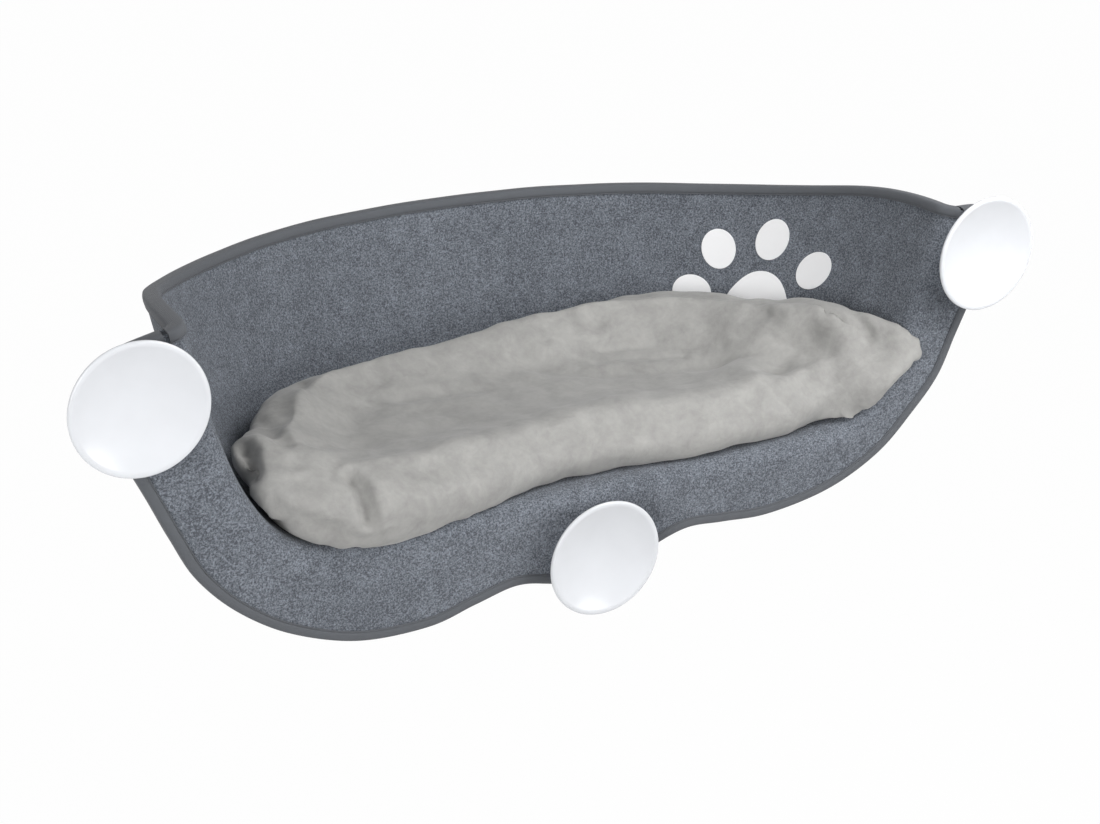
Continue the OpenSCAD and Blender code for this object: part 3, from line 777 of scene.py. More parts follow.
class PERCH_OT_paw(bpy.types.Operator):
    """Models the five paw patches on the bowl's wall"""
    bl_idname = "perch.paw"
    bl_label = "Paw patches"

    def execute(self, context):
        material = patch_material()
        finish(paw_patch("palm_patch", 0, 0, palm_outline), material, "shell", "paw", "paw_palm")
        for index, (across, up) in enumerate(TOE_PLACES):
            outline = toe_outline(math.radians(TOE_LEANS[index]))
            piece = paw_patch(f"toe_patch_{index + 1}", across, up, outline)
            finish(piece, material, "shell", "paw", f"paw_toe_{index + 1}")
        return {"FINISHED"}


# Pad

MM = 0.001
# Stations round the pad's widest line in millimetres, from the left end round the back to the right end
# and along the front: place in plan, height above the board, then how far in and how high its crest lies
PAD_STATIONS = (
    (-222, 66, 44, 26, 57), (-217, 84, 46, 18, 56), (-204, 101, 42, 11, 50), (-193, 118, 38, 10, 48),
    (-177, 146, 33, 12, 50), (-158, 172, 28, 14, 47), (-130, 194, 23, 18, 43), (-95, 204, 20, 20, 39),
    (-50, 212, 20, 20, 38), (0, 216, 20, 20, 39), (50, 218, 22, 20, 46), (100, 213, 26, 20, 52),
    (145, 199, 30, 18, 57), (180, 177, 36, 16, 60), (200, 156, 40, 16, 60), (214, 136, 44, 15, 60),
    (228, 110, 48, 15, 66), (235, 84, 52, 14, 70), (239, 62, 54, 12, 70), (244, 44, 53, 10, 70),
    (252, 27, 51, 9, 67), (261, 14, 49, 8, 58), (251, 9, 43, 10, 53), (237, 9, 36, 12, 49),
    (222, 14, 29, 14, 45), (207, 20, 22, 18, 41), (191, 26, 16, 20, 36), (172, 24, 12, 22, 32),
    (148, 24, 11, 24, 31), (120, 21, 11, 26, 31), (94, 19, 11, 26, 31), (55, 26, 11, 28, 31),
    (10, 29, 11, 28, 31), (-33, 26, 11, 28, 31), (-72, 18, 10, 28, 32), (-110, 12, 9, 28, 33),
    (-148, 8, 7, 28, 33), (-177, 11, 17, 32, 38), (-200, 17, 28, 34, 44), (-213, 26, 34, 34, 48),
    (-219, 43, 38, 32, 54))
PAD_MIDDLE = (0, 110)
PAD_BASIN_HEIGHT = 21
PAD_ROLL_RUN = 46
# Towards the pad's ends the roll falls over a longer run: the added share, where it starts, and over what
# length it grows
PAD_END_RUN_SHARE = 0.6
PAD_END_START = 0.1
PAD_END_LENGTH = 0.1
# Shares of the way from the pad's middle to its rim where the rings of both faces lie, and where the lower
# face starts to turn up
BOTTOM_SHARES = (0, 0.15, 0.3, 0.45, 0.6, 0.7, 0.8, 0.86, 0.9, 0.93, 0.96, 0.985)
TOP_SHARES = (1, 0.99, 0.98, 0.965, 0.95, 0.93, 0.91, 0.89, 0.86, 0.83, 0.79, 0.75, 0.7, 0.65, 0.59, 0.53,
              0.46, 0.39, 0.31, 0.23, 0.15, 0.07, 0)
TURN_UP_SHARE = 0.9
TURN_UP_RUN_SHARE = 0.1
# In front of the ridge the pad hangs at the height that the felt has this far behind the flange's face
RIDGE_INSET = 0.0025
RAY_HEIGHT = 0.3
# The crest over a place is a mean of the rim's stations, each weighed by how near it lies
NEAR_LEAST = 0.004
NEAR_SHARPNESS = 2
BOARD_GAP = 0.0003
# Finer lumps and long wrinkles, with their heights and waves as shares of the lumps'
FINE_HEIGHT_SHARE = 0.55
FINE_WAVE_SHARE = 0.35
FINE_SHIFT = Vector((7, 3, 1))
WRINKLE_HEIGHT_SHARE = 0.3
WRINKLE_WAVES = (0.09, 0.016, 0.05)
CLOTH = {"use_pressure": True, "quality": 4, "mass": 0.2, "tension_stiffness": 12,
         "compression_stiffness": 12, "bending_stiffness": 0.3}
CLOTH_FRAMES = 20
# Pulls in millimetres: a place in the frame, how far the cloth is drawn there, and how wide a pull reaches
PAD_PULLS = (
    ((-137, 20, -82), (-2, -5, 7), 22),
    ((-218, 64, -72), (-3, 0, 2), 12))
# Beside a fold the cloth puffs up: its height as a share of the fold's depth, and its place in fold widths
PUFF_SHARE = 0.25
PUFF_PLACE_SHARE = 2.0
# Folds in millimetres: a line of places in the frame, then width and depth, negative for a raised fold
PAD_CREASES = (
    (((-188, 115, -71), (-189, 97, -69), (-190, 80, -67), (-191, 65, -65)), 4.5, 2),
    (((-196, 108, -71), (-197, 90, -68), (-196, 76, -66)), 3.5, 1),
    (((-191, 65, -65), (-182, 61, -66), (-172, 64, -70)), 8, 1.5),
    (((-161, 30, -81), (-161, 26, -83), (-160, 20, -86), (-160, 14, -92), (-158, 11, -100),
      (-158, 11, -103)), 4, 5),
    (((-216, 68, -65), (-217, 59, -68), (-219, 52, -73), (-221, 49, -78)), 5.5, 7),
    (((-223, 49, -79), (-220, 40, -83), (-216, 32, -90), (-214, 30, -94)), 5, -5),
    (((-194, 45, -72), (-193, 43, -73)), 4, 1.5),
    (((-193, 31, -77), (-190, 29, -78)), 5, 1.5),
    (((-200, 18, -96), (-193, 17, -101), (-185, 15, -104)), 7, 2.5),
    (((193, 121, -58), (188, 110, -57), (187, 103, -59)), 5, 2),
    (((177, 113, -63), (184, 102, -62), (191, 91, -58)), 4, 1.5),
    (((196, 64, -67), (185, 67, -73), (178, 66, -76), (169, 59, -80)), 13, 6),
    (((148, 40, -81), (149, 36, -85), (152, 30, -92)), 5, 2),
    (((187, 50, -78), (180, 39, -85), (174, 31, -91)), 5, 1.5),
    (((226, 50, -49), (226, 42, -52), (227, 38, -57), (226, 34, -62)), 3.5, 2),
    (((25, 168, -82), (31, 156, -89), (42, 139, -90), (65, 125, -90), (91, 113, -89), (122, 109, -89),
      (149, 101, -88)), 8, 2.5),
    (((84, 156, -87), (112, 148, -86), (136, 132, -85), (157, 113, -81)), 4.5, 1.5),
    (((76, 142, -90), (104, 134, -89), (131, 124, -89)), 4.5, 1.5),
    (((-78, 143, -89), (-50, 141, -90), (-21, 139, -90)), 6, 1.5),
    (((-140, 162, -73), (-149, 134, -67), (-149, 124, -69)), 4, 1.2),
    (((-82, 177, -75), (-83, 171, -78), (-82, 166, -82)), 4, 1.2),
    (((46, 181, -71), (46, 176, -74), (47, 171, -78)), 4, 1.5),
    (((73, 184, -68), (73, 178, -72), (74, 173, -75)), 4, 1.5),
    (((90, 182, -66), (91, 178, -70), (92, 173, -73)), 4, 1.2),
    (((-120, 22, -85), (-102, 31, -84), (-81, 33, -85)), 8, 1.5),
    (((18, 43, -88), (43, 34, -94), (78, 27, -97)), 8, 1.5))


def around(stations, place):
    """A smooth closed curve through the stations, at a place counted in stations."""
    first = int(math.floor(place))
    near = [np.array(stations[(first + step) % len(stations)], float) for step in (-1, 0, 1, 2)]
    return spline(*near, place - first)


def visible_face():
    """The felt's visible face alone, ready for measuring to it."""
    shell = FeltShell()
    rows = shell.even_rows(wall_steps=30, floor_steps=11)
    columns = shell.even_columns(flange_steps=5, ridge_steps=6, bowl_steps=60)
    points = [shell.point(row, column) for row in rows for column in columns]
    wide = len(columns)
    faces = [(first, first + wide, first + wide + 1, first + 1)
             for row in range(len(rows) - 1) for first in range(row * wide, row * wide + wide - 1)]
    return BVHTree.FromPolygons(points, faces)


class PadForm:
    """The pad's filled form, before its cloth is let go."""
    columns = 240

    def __init__(self):
        self.size = settings("perch_pad")
        self.board_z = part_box("base_board")[1].z
        self.rim = np.array([around(PAD_STATIONS, len(PAD_STATIONS) * column / self.columns)
                             for column in range(self.columns)]) * MM
        self.felt_face = visible_face()
        self.front = settings("perch_shell").face_distance + RIDGE_INSET

    def ground(self, x, y):
        """Height of the felt or of the board under a place; in front of the ridge, the ridge's height."""
        hit = self.felt_face.ray_cast(Vector((x, max(y, self.front), RAY_HEIGHT)), Vector((0, 0, -1)))[0]
        if not hit:
            return self.board_z
        return max(hit.z, self.board_z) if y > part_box("base_board")[0].y else hit.z

    def top(self, x, y, column, share):
        """Height of the pad's upper face: a roll along the rim that falls to the sunken middle."""
        distances = np.hypot(self.rim[:, 0] - x, self.rim[:, 1] - y)
        near = int(distances.argmin()) if share < 1 else column
        away = distances[near]
        weights = np.exp(-(distances / max(away, NEAR_LEAST)) ** 2 * NEAR_SHARPNESS)
        _, _, rim_h, inset, crest_h = (self.rim * weights[:, None]).sum(0) / weights.sum()
        if away < inset:
            fall = 1 - away / inset
            if share == 1:
                return self.board_z + self.rim[column, 2]
            return self.board_z + rim_h + (crest_h - rim_h) * math.sqrt(max(1 - fall ** 2, 0))
        end_share = min(max((abs(x) - PAD_END_START) / PAD_END_LENGTH, 0), 1)
        run = PAD_ROLL_RUN * (1 + PAD_END_RUN_SHARE * end_share) * MM
        rise = max(1 - (away - inset) / run, 0)
        basin = self.ground(x, y) + PAD_BASIN_HEIGHT * MM
        crest = max(self.board_z + crest_h, basin)
        return basin + (crest - basin) * rise * rise * (3 - 2 * rise)

    def bottom(self, x, y, column, share):
        """Height of the pad's lower face: it lies on the board and the felt, and turns up at the rim."""
        rim_z = self.board_z + self.rim[column, 2]
        lying = min(self.ground(x, y) + self.size.clear, rim_z)
        turned_share = max((share - TURN_UP_SHARE) / TURN_UP_RUN_SHARE, 0)
        return lying + (rim_z - lying) * turned_share ** 2


def pad_mesh():
    """Closed form of the pad, from rings between its middle and its rim."""
    form = PadForm()
    ring_shares = BOTTOM_SHARES + TOP_SHARES
    middle = np.array(PAD_MIDDLE) * MM

    def place(column, row):
        column = column % form.columns
        share = ring_shares[row]
        x, y = middle + share * (form.rim[column, :2] - middle)
        face = form.top if row >= len(BOTTOM_SHARES) else form.bottom
        return Vector((x, y, face(x, y, column, share)))
    obj = grid_piece("fleece_pad", form.columns, len(ring_shares) - 1, place)
    return zip_up(obj, 1e-6, recalculate=True)


def coordinates(obj, kind="co"):
    """Places of a piece's points, or with the kind normal their directions, one to a row."""
    flat = np.zeros(len(obj.data.vertices) * 3)
    obj.data.vertices.foreach_get(kind, flat)
    return flat.reshape(-1, 3)


def set_coordinates(obj, points):
    obj.data.vertices.foreach_set("co", np.ascontiguousarray(points).ravel())
    obj.data.update()


def let_fill(obj):
    """Lets the cloth fill under pressure, with the furthest move capped."""
    size = settings("perch_pad")
    before, ways = coordinates(obj), coordinates(obj, "normal")
    pick(obj)
    cloth = obj.modifiers.new("Cloth", "CLOTH")
    for key, value in CLOTH.items():
        setattr(cloth.settings, key, value)
    cloth.settings.uniform_pressure_force = size.pressure
    cloth.settings.effector_weights.gravity = 0
    cloth.point_cache.frame_start = 1
    cloth.point_cache.frame_end = CLOTH_FRAMES
    for moment in range(1, CLOTH_FRAMES + 1):
        bpy.context.scene.frame_set(moment)
    bpy.ops.object.modifier_apply(modifier=cloth.name)
    bpy.context.scene.frame_set(1)
    moved = coordinates(obj) - before
    outward = (moved * ways).sum(1, keepdims=True)
    cap = np.where(outward > 0, size.swell, size.settle)
    reach = np.linalg.norm(moved, axis=1, keepdims=True)
    set_coordinates(obj, before + moved * np.minimum(1, cap / np.maximum(reach, 1e-9)))


def pull(obj, place, move, reach):
    """Draws a piece's cloth towards a side, most at one place and less around it."""
    points = coordinates(obj)
    away = np.linalg.norm(points - np.array(place) * MM, axis=1)
    weight = np.exp(-(away / (reach * MM)) ** 2)
    set_coordinates(obj, points + weight[:, None] * np.array(move) * MM)


def crease(obj, line, width, depth):
    """Presses a fold into a piece along a line of places, with its cloth puffed up beside it."""
    points, ways = coordinates(obj), coordinates(obj, "normal")
    nearest = np.full(len(points), np.inf)
    for start, end in zip(line, line[1:]):
        for share in np.linspace(0, 1, 8):
            spot = (np.array(start) * (1 - share) + np.array(end) * share) * MM
            seat = points[np.linalg.norm(points - spot, axis=1).argmin()]
            nearest = np.minimum(nearest, np.linalg.norm(points - seat, axis=1))
    away = nearest / (width * MM)
    press = np.exp(-away ** 2) - PUFF_SHARE * np.exp(-(away - PUFF_PLACE_SHARE) ** 2)
    set_coordinates(obj, points - ways * (press * depth * MM)[:, None])


def lumps(obj):
    """Soft lumps of the filling, and long shallow wrinkles over the sunken middle."""
    size = settings("perch_pad")
    points, ways = coordinates(obj), coordinates(obj, "normal")
    for index, point in enumerate(points):
        spot = Vector(point)
        fine_spot = spot / (FINE_WAVE_SHARE * size.lump_wave) + FINE_SHIFT
        long_spot = Vector([part / wave for part, wave in zip(spot, WRINKLE_WAVES)])
        height = size.lump * noise.noise(spot / size.lump_wave)
        height += FINE_HEIGHT_SHARE * size.lump * noise.noise(fine_spot)
        height += WRINKLE_HEIGHT_SHARE * size.lump * noise.noise(long_spot)
        points[index] += ways[index] * height
    set_coordinates(obj, points)


def push_clear(obj, face, gap):
    """Moves points that lie behind or too near the felt's visible face out to the clearance."""
    points = coordinates(obj)
    for index, point in enumerate(points):
        spot = Vector(point)
        near, normal, _, _ = face.find_nearest(spot)
        if (spot - near).dot(normal) < gap:
            points[index] = np.array(near + gap * normal)
    set_coordinates(obj, points)


class PERCH_OT_pad(bpy.types.Operator):
    """Models the loose fleece pad, filled by a cloth simulation"""
    bl_idname = "perch.pad"
    bl_label = "Fleece pad"

    def execute(self, context):
        size = settings("perch_pad")
        pad = pad_mesh()
        apply_modifier(pad, "REMESH", mode="VOXEL", voxel_size=size.voxel, use_smooth_shade=True)
        let_fill(pad)
        for place, move, reach in PAD_PULLS:
            pull(pad, place, move, reach)
        apply_modifier(pad, "SUBSURF", levels=1, render_levels=1)
        for line, width, depth in PAD_CREASES:
            crease(pad, line, width, depth)
        lumps(pad)
        push_clear(pad, visible_face(), size.clear)
        points = coordinates(pad)
        across, depth = points[:, 0], points[:, 1]
        board_low, board_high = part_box("base_board")
        over = (abs(across) < board_high.x) & (depth > board_low.y) & (depth < board_high.y)
        points[over, 2] = np.maximum(points[over, 2], board_high.z + BOARD_GAP)
        set_coordinates(pad, points)
        smooth(pad, 180)
        finish(pad, fleece_material(), "pad", "fleece", "pad_cover", "pad_filling")
        return {"FINISHED"}


# Fixings

# Cup's section: steps of the dish, the lip and the slope, the slope's power, the sealing face's first
# point, out from the dish's rim and up from the pane, and a ring on the boss's end, in from its side
DISH_STEPS = 28
LIP_STEPS = 8
SLOPE_STEPS = 24
SLOPE_POWER = 1.15
FACE_START = (0.0004, 0.00005)
BOSS_RING = 0.002


def cup_outline(boss_end):
    """Section of a cup, from the middle of its dish round the lip to the middle of its boss."""
    size = settings("perch_cup")
    radius, boss, lip = size.diameter / 2, size.boss / 2, size.lip
    lip_middle = radius - lip / 2
    dish_radius = radius - size.lip_width
    ball = (dish_radius ** 2 + size.dish ** 2) / (2 * size.dish)
    outline = []
    for step in range(DISH_STEPS + 1):
        out = dish_radius * step / DISH_STEPS
        outline.append((out, size.dish - ball + math.sqrt(ball ** 2 - out ** 2)))
    outline.append((dish_radius + FACE_START[0], FACE_START[1]))
    for step in range(LIP_STEPS + 1):
        turn = math.pi * step / LIP_STEPS
        outline.append((lip_middle + lip / 2 * math.sin(turn), lip / 2 - lip / 2 * math.cos(turn)))
    for step in range(1, SLOPE_STEPS + 1):
        share = step / SLOPE_STEPS
        outline.append((lip_middle - share * (lip_middle - boss),
                        lip + share ** SLOPE_POWER * (boss_end - size.shoulder - lip)))
    return outline + [(boss, boss_end - size.edge), (boss - size.edge, boss_end),
                      (boss - BOSS_RING, boss_end), (0, boss_end)]


class PERCH_OT_cups(bpy.types.Operator):
    """Models the three suction cups"""
    bl_idname = "perch.cups"
    bl_label = "Suction cups"

    def execute(self, context):
        material = vinyl_material()
        for side in FIXINGS:
            _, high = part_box(side + "_cup")
            cup = lathe(side + "_suction_cup_body", cup_outline(high.y), stud_place(side), 128)
            finish(smooth(cup, 50), material, side + "_suction_cup", "cup", side + "_cup")
        return {"FINISHED"}


def ring_outline(low, high, inner, outer, rounding):
    """Closed section of a ring with rounded corners, between two distances along its axis."""
    corners = [(inner, low), (outer, low), (outer, high), (inner, high)]
    points = rounded([(*corner, rounding) for corner in corners])
    return points + points[:1]


class PERCH_OT_metal(bpy.types.Operator):
    """Models the eyelets with their back rings, and the washers"""
    bl_idname = "perch.metal"
    bl_label = "Eyelets and washers"

    def execute(self, context):
        size = settings("perch_metal")
        zinc, plastic = zinc_material(), plastic_material()
        for side in FIXINGS:
            place = stud_place(side)
            low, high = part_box(side + "_eyelet")
            head = (high.x - low.x) / 2
            roll = size.barrel + size.roll
            face, back = low.y + size.sheet, high.y - size.sheet
            outline = rounded([(size.bore, low.y, size.edge), (head, low.y, size.edge),
                               (head, face, size.edge), (size.barrel, face, 0), (size.barrel, back, 0),
                               (roll, back, size.fine_edge), (roll, high.y, size.edge),
                               (size.bore, high.y, size.mouth)])
            eyelet = smooth(lathe(side + "_eyelet_body", outline + outline[:1], place, 64), 40)
            finish(eyelet, zinc, "shell", "metal", side + "_eyelet")
            low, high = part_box(side + "_eyelet_ring")
            inner = size.barrel + size.ring_gap
            outline = ring_outline(low.y, high.y, inner, (high.x - low.x) / 2, size.fine_edge)
            ring = smooth(lathe(side + "_back_ring", outline, place, 64), 40)
            finish(ring, zinc, "shell", "metal", side + "_eyelet_ring")
            low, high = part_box(side + "_knob_washer")
            outline = ring_outline(low.y, high.y, size.washer_bore, (high.x - low.x) / 2, size.edge)
            washer = smooth(lathe(side + "_washer_body", outline, place, 64), 40)
            finish(washer, plastic, side + "_washer", "knob", side + "_knob_washer")
        return {"FINISHED"}


# Roundings of the knob's corners: the bore's mouth, the collar's end and foot, and the hollow
KNOB_ROUNDINGS = (0.0005, 0.0004, 0.0003, 0.0006)
# Points this near to the collar's side, or this far under the lobes, are left out of the grooves
COLLAR_MARGIN = 0.00005
LOBE_MARGIN = 0.0004


def knob_outline(low, high, radius, bore_end):
    """Section of a knob without its grooves, from its bore's end round the outside to its hollow."""
    size = settings("perch_knob")
    mouth, end, foot, hollow = KNOB_ROUNDINGS
    lobes = low + size.collar
    hollow_floor = high - size.hollow_depth
    return rounded([(0, bore_end, 0), (size.bore, bore_end, 0), (size.bore, low, mouth),
                    (size.collar_radius, low, end), (size.collar_radius, lobes, foot),
                    (radius, lobes, size.edge), (radius, high, size.edge), (size.hollow, high, hollow),
                    (size.hollow - size.hollow_slope, hollow_floor, hollow), (0, hollow_floor, 0)])


def grooved(turn, radius):
    """The knob's rim at a turn round its axis: its radius, or the side of the nearest groove."""
    size = settings("perch_knob")
    centre = radius + size.groove_radius - size.groove_depth
    part = math.tau / size.grooves
    turn = (turn + part / 2) % part - part / 2
    reach = size.groove_radius ** 2 - (centre * math.sin(turn)) ** 2
    if reach <= 0:
        return radius
    cut = centre * math.cos(turn) - math.sqrt(reach)
    return -size.blend * math.log(math.exp(-radius / size.blend) + math.exp(-cut / size.blend))


class PERCH_OT_knobs(bpy.types.Operator):
    """Models the screw knobs with their finger grooves"""
    bl_idname = "perch.knobs"
    bl_label = "Screw knobs"

    def execute(self, context):
        size = settings("perch_knob")
        material = plastic_material()
        for side in FIXINGS:
            place = stud_place(side)
            low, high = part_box(side + "_knob")
            radius = high.z - place.z
            bore_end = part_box(side + "_stud")[1].y + size.bore_margin
            outline = knob_outline(low.y, high.y, radius, bore_end)
            knob = lathe(side + "_screw_knob_body", outline, place, 144)
            for vertex in knob.data.vertices:
                x, z = vertex.co.x - place.x, vertex.co.z - place.z
                out = math.hypot(x, z)
                beside_collar = out <= size.collar_radius + COLLAR_MARGIN
                if beside_collar or vertex.co.y < low.y + size.collar - LOBE_MARGIN:
                    continue
                share = (out - size.hollow) / (radius - size.hollow)
                new = size.hollow + share * (grooved(math.atan2(z, x), radius) - size.hollow)
                vertex.co.x = place.x + x / out * new
                vertex.co.z = place.z + z / out * new
            smooth(knob, 50)
            finish(knob, material, side + "_screw_knob", "knob", side + "_knob")
        return {"FINISHED"}


# Materials

def add(tree, kind, inputs=None, **values):
    """Adds a node, sets its values, and links or sets its inputs by name or number."""
    made = tree.nodes.new(kind)
    for key, value in values.items():
        setattr(made, key, value)
    for key, value in (inputs or {}).items():
        if isinstance(value, bpy.types.NodeSocket):
            tree.links.new(value, made.inputs[key])
        else:
            made.inputs[key].default_value = value
    return made


def maths(tree, operation, *values, clamp=False):
    made = add(tree, "ShaderNodeMath", dict(enumerate(values)), operation=operation, use_clamp=clamp)
    return made.outputs[0]


def weighed(tree, *parts, clamp=False):
    """Adds up values, each times its share."""
    total = maths(tree, "MULTIPLY", *parts[0])
    for value, share in parts[1:]:
        total = maths(tree, "ADD", total, maths(tree, "MULTIPLY", value, share), clamp=clamp)
    return total


def speckle(tree, vector, scale, detail=2.0, roughness=0.5, distortion=0.0):
    """Noise with its scale given as a real size of its grain."""
    made = add(tree, "ShaderNodeTexNoise", {"Vector": vector, "Scale": 1 / scale, "Detail": detail,
                                            "Roughness": roughness, "Distortion": distortion})
    return made.outputs["Fac"]


def stretch(tree, value, low, high, out_low=0.0, out_high=1.0):
    made = add(tree, "ShaderNodeMapRange", {"Value": value, "From Min": low, "From Max": high,
                                            "To Min": out_low, "To Max": out_high})
    return made.outputs[0]


def mix(tree, share, first, second):
    made = add(tree, "ShaderNodeMix", {"Factor": share, 6: first, 7: second}, data_type="RGBA")
    return made.outputs[2]


def group(name, inputs, outputs):
    """An empty node group with named inputs, given with their kind and default, and named outputs."""
    tree = bpy.data.node_groups.new(name, "ShaderNodeTree")
    for label, kind, default in inputs:
        socket = tree.interface.new_socket(name=label, in_out="INPUT", socket_type=kind)
        if default is not None:
            socket.default_value = default
    for label, kind in outputs:
        tree.interface.new_socket(name=label, in_out="OUTPUT", socket_type=kind)
    return tree, tree.nodes.new("NodeGroupInput"), tree.nodes.new("NodeGroupOutput")


def close_group(tree, sink, **results):
    for label, socket in results.items():
        tree.links.new(socket, sink.inputs[label])
    return tree


STRAND_TURNS = (0.5, 0.9, 0.7)


def fibre_group():
    """Needled fibres in two tones, with cloudy patches, at real sizes."""
    if "Needled Fibres" in bpy.data.node_groups:
        return bpy.data.node_groups["Needled Fibres"]
    tree, source, sink = group(
        "Needled Fibres",
        [("Vector", "NodeSocketVector", None), ("Dark", "NodeSocketColor", None),
         ("Light", "NodeSocketColor", None), ("Contrast", "NodeSocketFloat", 1.0)],
        [("Color", "NodeSocketColor"), ("Height", "NodeSocketFloat")])
    vector = source.outputs["Vector"]
    grain = speckle(tree, vector, 0.0011, 3, 0.65)
    strands = []
    for turn, (x, y) in enumerate(((7, 1), (1, 6), (5, 5))):
        turned = tuple(part * turn for part in STRAND_TURNS)
        mapping = add(tree, "ShaderNodeMapping", {"Vector": vector, "Rotation": turned,
                                                  "Scale": (x, y, 6 - 2 * turn)})
        strands.append(speckle(tree, mapping.outputs[0], 0.0042, 2, 0.6, 0.6))
    longest = maths(tree, "MAXIMUM", maths(tree, "MAXIMUM", strands[0], strands[1]), strands[2])
    clouds = speckle(tree, vector, 0.012, 3, 0.55)
    wide = speckle(tree, vector, 0.07, 2, 0.5)
    tone = weighed(tree, (stretch(tree, grain, 0.3, 0.7), 0.55), (stretch(tree, longest, 0.45, 0.8), 0.3),
                   (stretch(tree, clouds, 0.3, 0.7), 0.1), (stretch(tree, wide, 0.3, 0.7), 0.05))
    spread = maths(tree, "MULTIPLY", maths(tree, "SUBTRACT", tone, 0.5), source.outputs["Contrast"])
    share = maths(tree, "ADD", spread, 0.5, clamp=True)
    shade = mix(tree, share, source.outputs["Dark"], source.outputs["Light"])
    return close_group(tree, sink, Color=shade, Height=weighed(tree, (grain, 0.5), (longest, 0.5)))


def weave_group():
    """A plain weave along a piece's own length and width, at a real pitch."""
    if "Plain Weave" in bpy.data.node_groups:
        return bpy.data.node_groups["Plain Weave"]
    tree, source, sink = group(
        "Plain Weave", [("Vector", "NodeSocketVector", None), ("Pitch", "NodeSocketFloat", 0.0005)],
        [("Height", "NodeSocketFloat")])
    scaled = add(tree, "ShaderNodeVectorMath", {0: source.outputs["Vector"]}, operation="SCALE")
    tree.links.new(maths(tree, "DIVIDE", math.pi, source.outputs["Pitch"]), scaled.inputs["Scale"])
    parts = add(tree, "ShaderNodeSeparateXYZ", {0: scaled.outputs[0]})
    warp = maths(tree, "ABSOLUTE", maths(tree, "SINE", parts.outputs[0]))
    weft = maths(tree, "ABSOLUTE", maths(tree, "SINE", parts.outputs[1]))
    return close_group(tree, sink, Height=maths(tree, "MULTIPLY", warp, weft))


def moulded_group():
    """Soft unevenness and fine grain of a moulded or plated surface."""
    if "Moulded Surface" in bpy.data.node_groups:
        return bpy.data.node_groups["Moulded Surface"]
    tree, source, sink = group(
        "Moulded Surface", [("Vector", "NodeSocketVector", None), ("Grain", "NodeSocketFloat", 1000.0)],
        [("Mask", "NodeSocketFloat"), ("Height", "NodeSocketFloat")])
    wide = speckle(tree, source.outputs["Vector"], 0.02, 2, 0.5)
    fine = add(tree, "ShaderNodeTexNoise", {"Vector": source.outputs["Vector"],
                                            "Scale": source.outputs["Grain"], "Detail": 2.0})
    return close_group(tree, sink, Mask=stretch(tree, wide, 0.3, 0.7), Height=fine.outputs["Fac"])


def use_group(tree, node_tree, **inputs):
    return add(tree, "ShaderNodeGroup", inputs, node_tree=node_tree)


def new_material(name, **plain):
    """A material with its shader's plain values set by name, and its object coordinates."""
    material = bpy.data.materials.new(name)
    material.use_nodes = True
    tree = material.node_tree
    shader = tree.nodes["Principled BSDF"]
    for key, value in plain.items():
        shader.inputs[key.replace("_", " ")].default_value = value
    place = tree.nodes.new("ShaderNodeTexCoord")
    return material, tree, shader, place


def bump(tree, shader, height, strength, distance):
    made = add(tree, "ShaderNodeBump", {"Height": height, "Strength": strength, "Distance": distance})
    tree.links.new(made.outputs[0], shader.inputs["Normal"])


def rgba(shade, share=1.0):
    """A colour with its opacity, made darker or lighter by a share."""
    return tuple(share * part for part in shade) + (1.0,)


def felt_material():
    finishes = settings("perch_finish")
    material, tree, shader, place = new_material("blue grey felt", Roughness=0.95, Sheen_Weight=0.12,
                                                 Sheen_Roughness=0.5)
    fibres = use_group(tree, fibre_group(), Vector=place.outputs["Object"], Dark=rgba(finishes.felt_dark),
                       Light=rgba(finishes.felt_light), Contrast=2.4)
    tree.links.new(fibres.outputs["Color"], shader.inputs["Base Color"])
    bump(tree, shader, fibres.outputs["Height"], 0.7, 0.0006)
    return material


def tape_material():
    finishes = settings("perch_finish")
    material, tree, shader, place = new_material("woven tape", Roughness=0.8, Sheen_Weight=0.1)
    weave = use_group(tree, weave_group(), Vector=place.outputs["UV"], Pitch=0.0005)
    worn = speckle(tree, place.outputs["Object"], 0.006, 3, 0.6)
    share = weighed(tree, (weave.outputs["Height"], 0.6), (worn, 0.6), clamp=True)
    shade = mix(tree, share, rgba(finishes.tape, 0.8), rgba(finishes.tape))
    tree.links.new(shade, shader.inputs["Base Color"])
    bump(tree, shader, weave.outputs["Height"], 0.4, 0.0002)
    return material


def thread_material():
    finishes = settings("perch_finish")
    material, tree, shader, place = new_material("sewing thread", Roughness=0.7)
    twist = speckle(tree, place.outputs["Object"], 0.0004, 2, 0.6)
    shade = mix(tree, twist, rgba(finishes.thread), rgba(finishes.thread, 1.5))
    tree.links.new(shade, shader.inputs["Base Color"])
    bump(tree, shader, twist, 0.5, 0.0001)
    return material


def fleece_material():
    finishes = settings("perch_finish")
    material, tree, shader, place = new_material("brushed fleece", Roughness=0.95, Sheen_Weight=0.25,
                                                 Sheen_Roughness=0.45)
    vector = place.outputs["Object"]
    # The fleece's colour swings between its painted shade and painted sheen, mostly in large brushed
    # patches of nap and less with the finer tufts and pile
    brushed = speckle(tree, vector, 0.022, 4, 0.6, 0.8)
    tufts = speckle(tree, vector, 0.0045, 3, 0.6, 0.4)
    pile = speckle(tree, vector, 0.0009, 2, 0.6)
    share = weighed(tree, (stretch(tree, brushed, 0.3, 0.7), 0.6), (stretch(tree, tufts, 0.3, 0.7), 0.3),
                    (pile, 0.15), clamp=True)
    shade = mix(tree, share, rgba(finishes.fleece_nap_painted_shade), rgba(finishes.fleece_nap_painted_sheen))
    tree.links.new(shade, shader.inputs["Base Color"])
    bump(tree, shader, weighed(tree, (pile, 0.4), (tufts, 1.0)), 0.35, 0.0007)
    return material


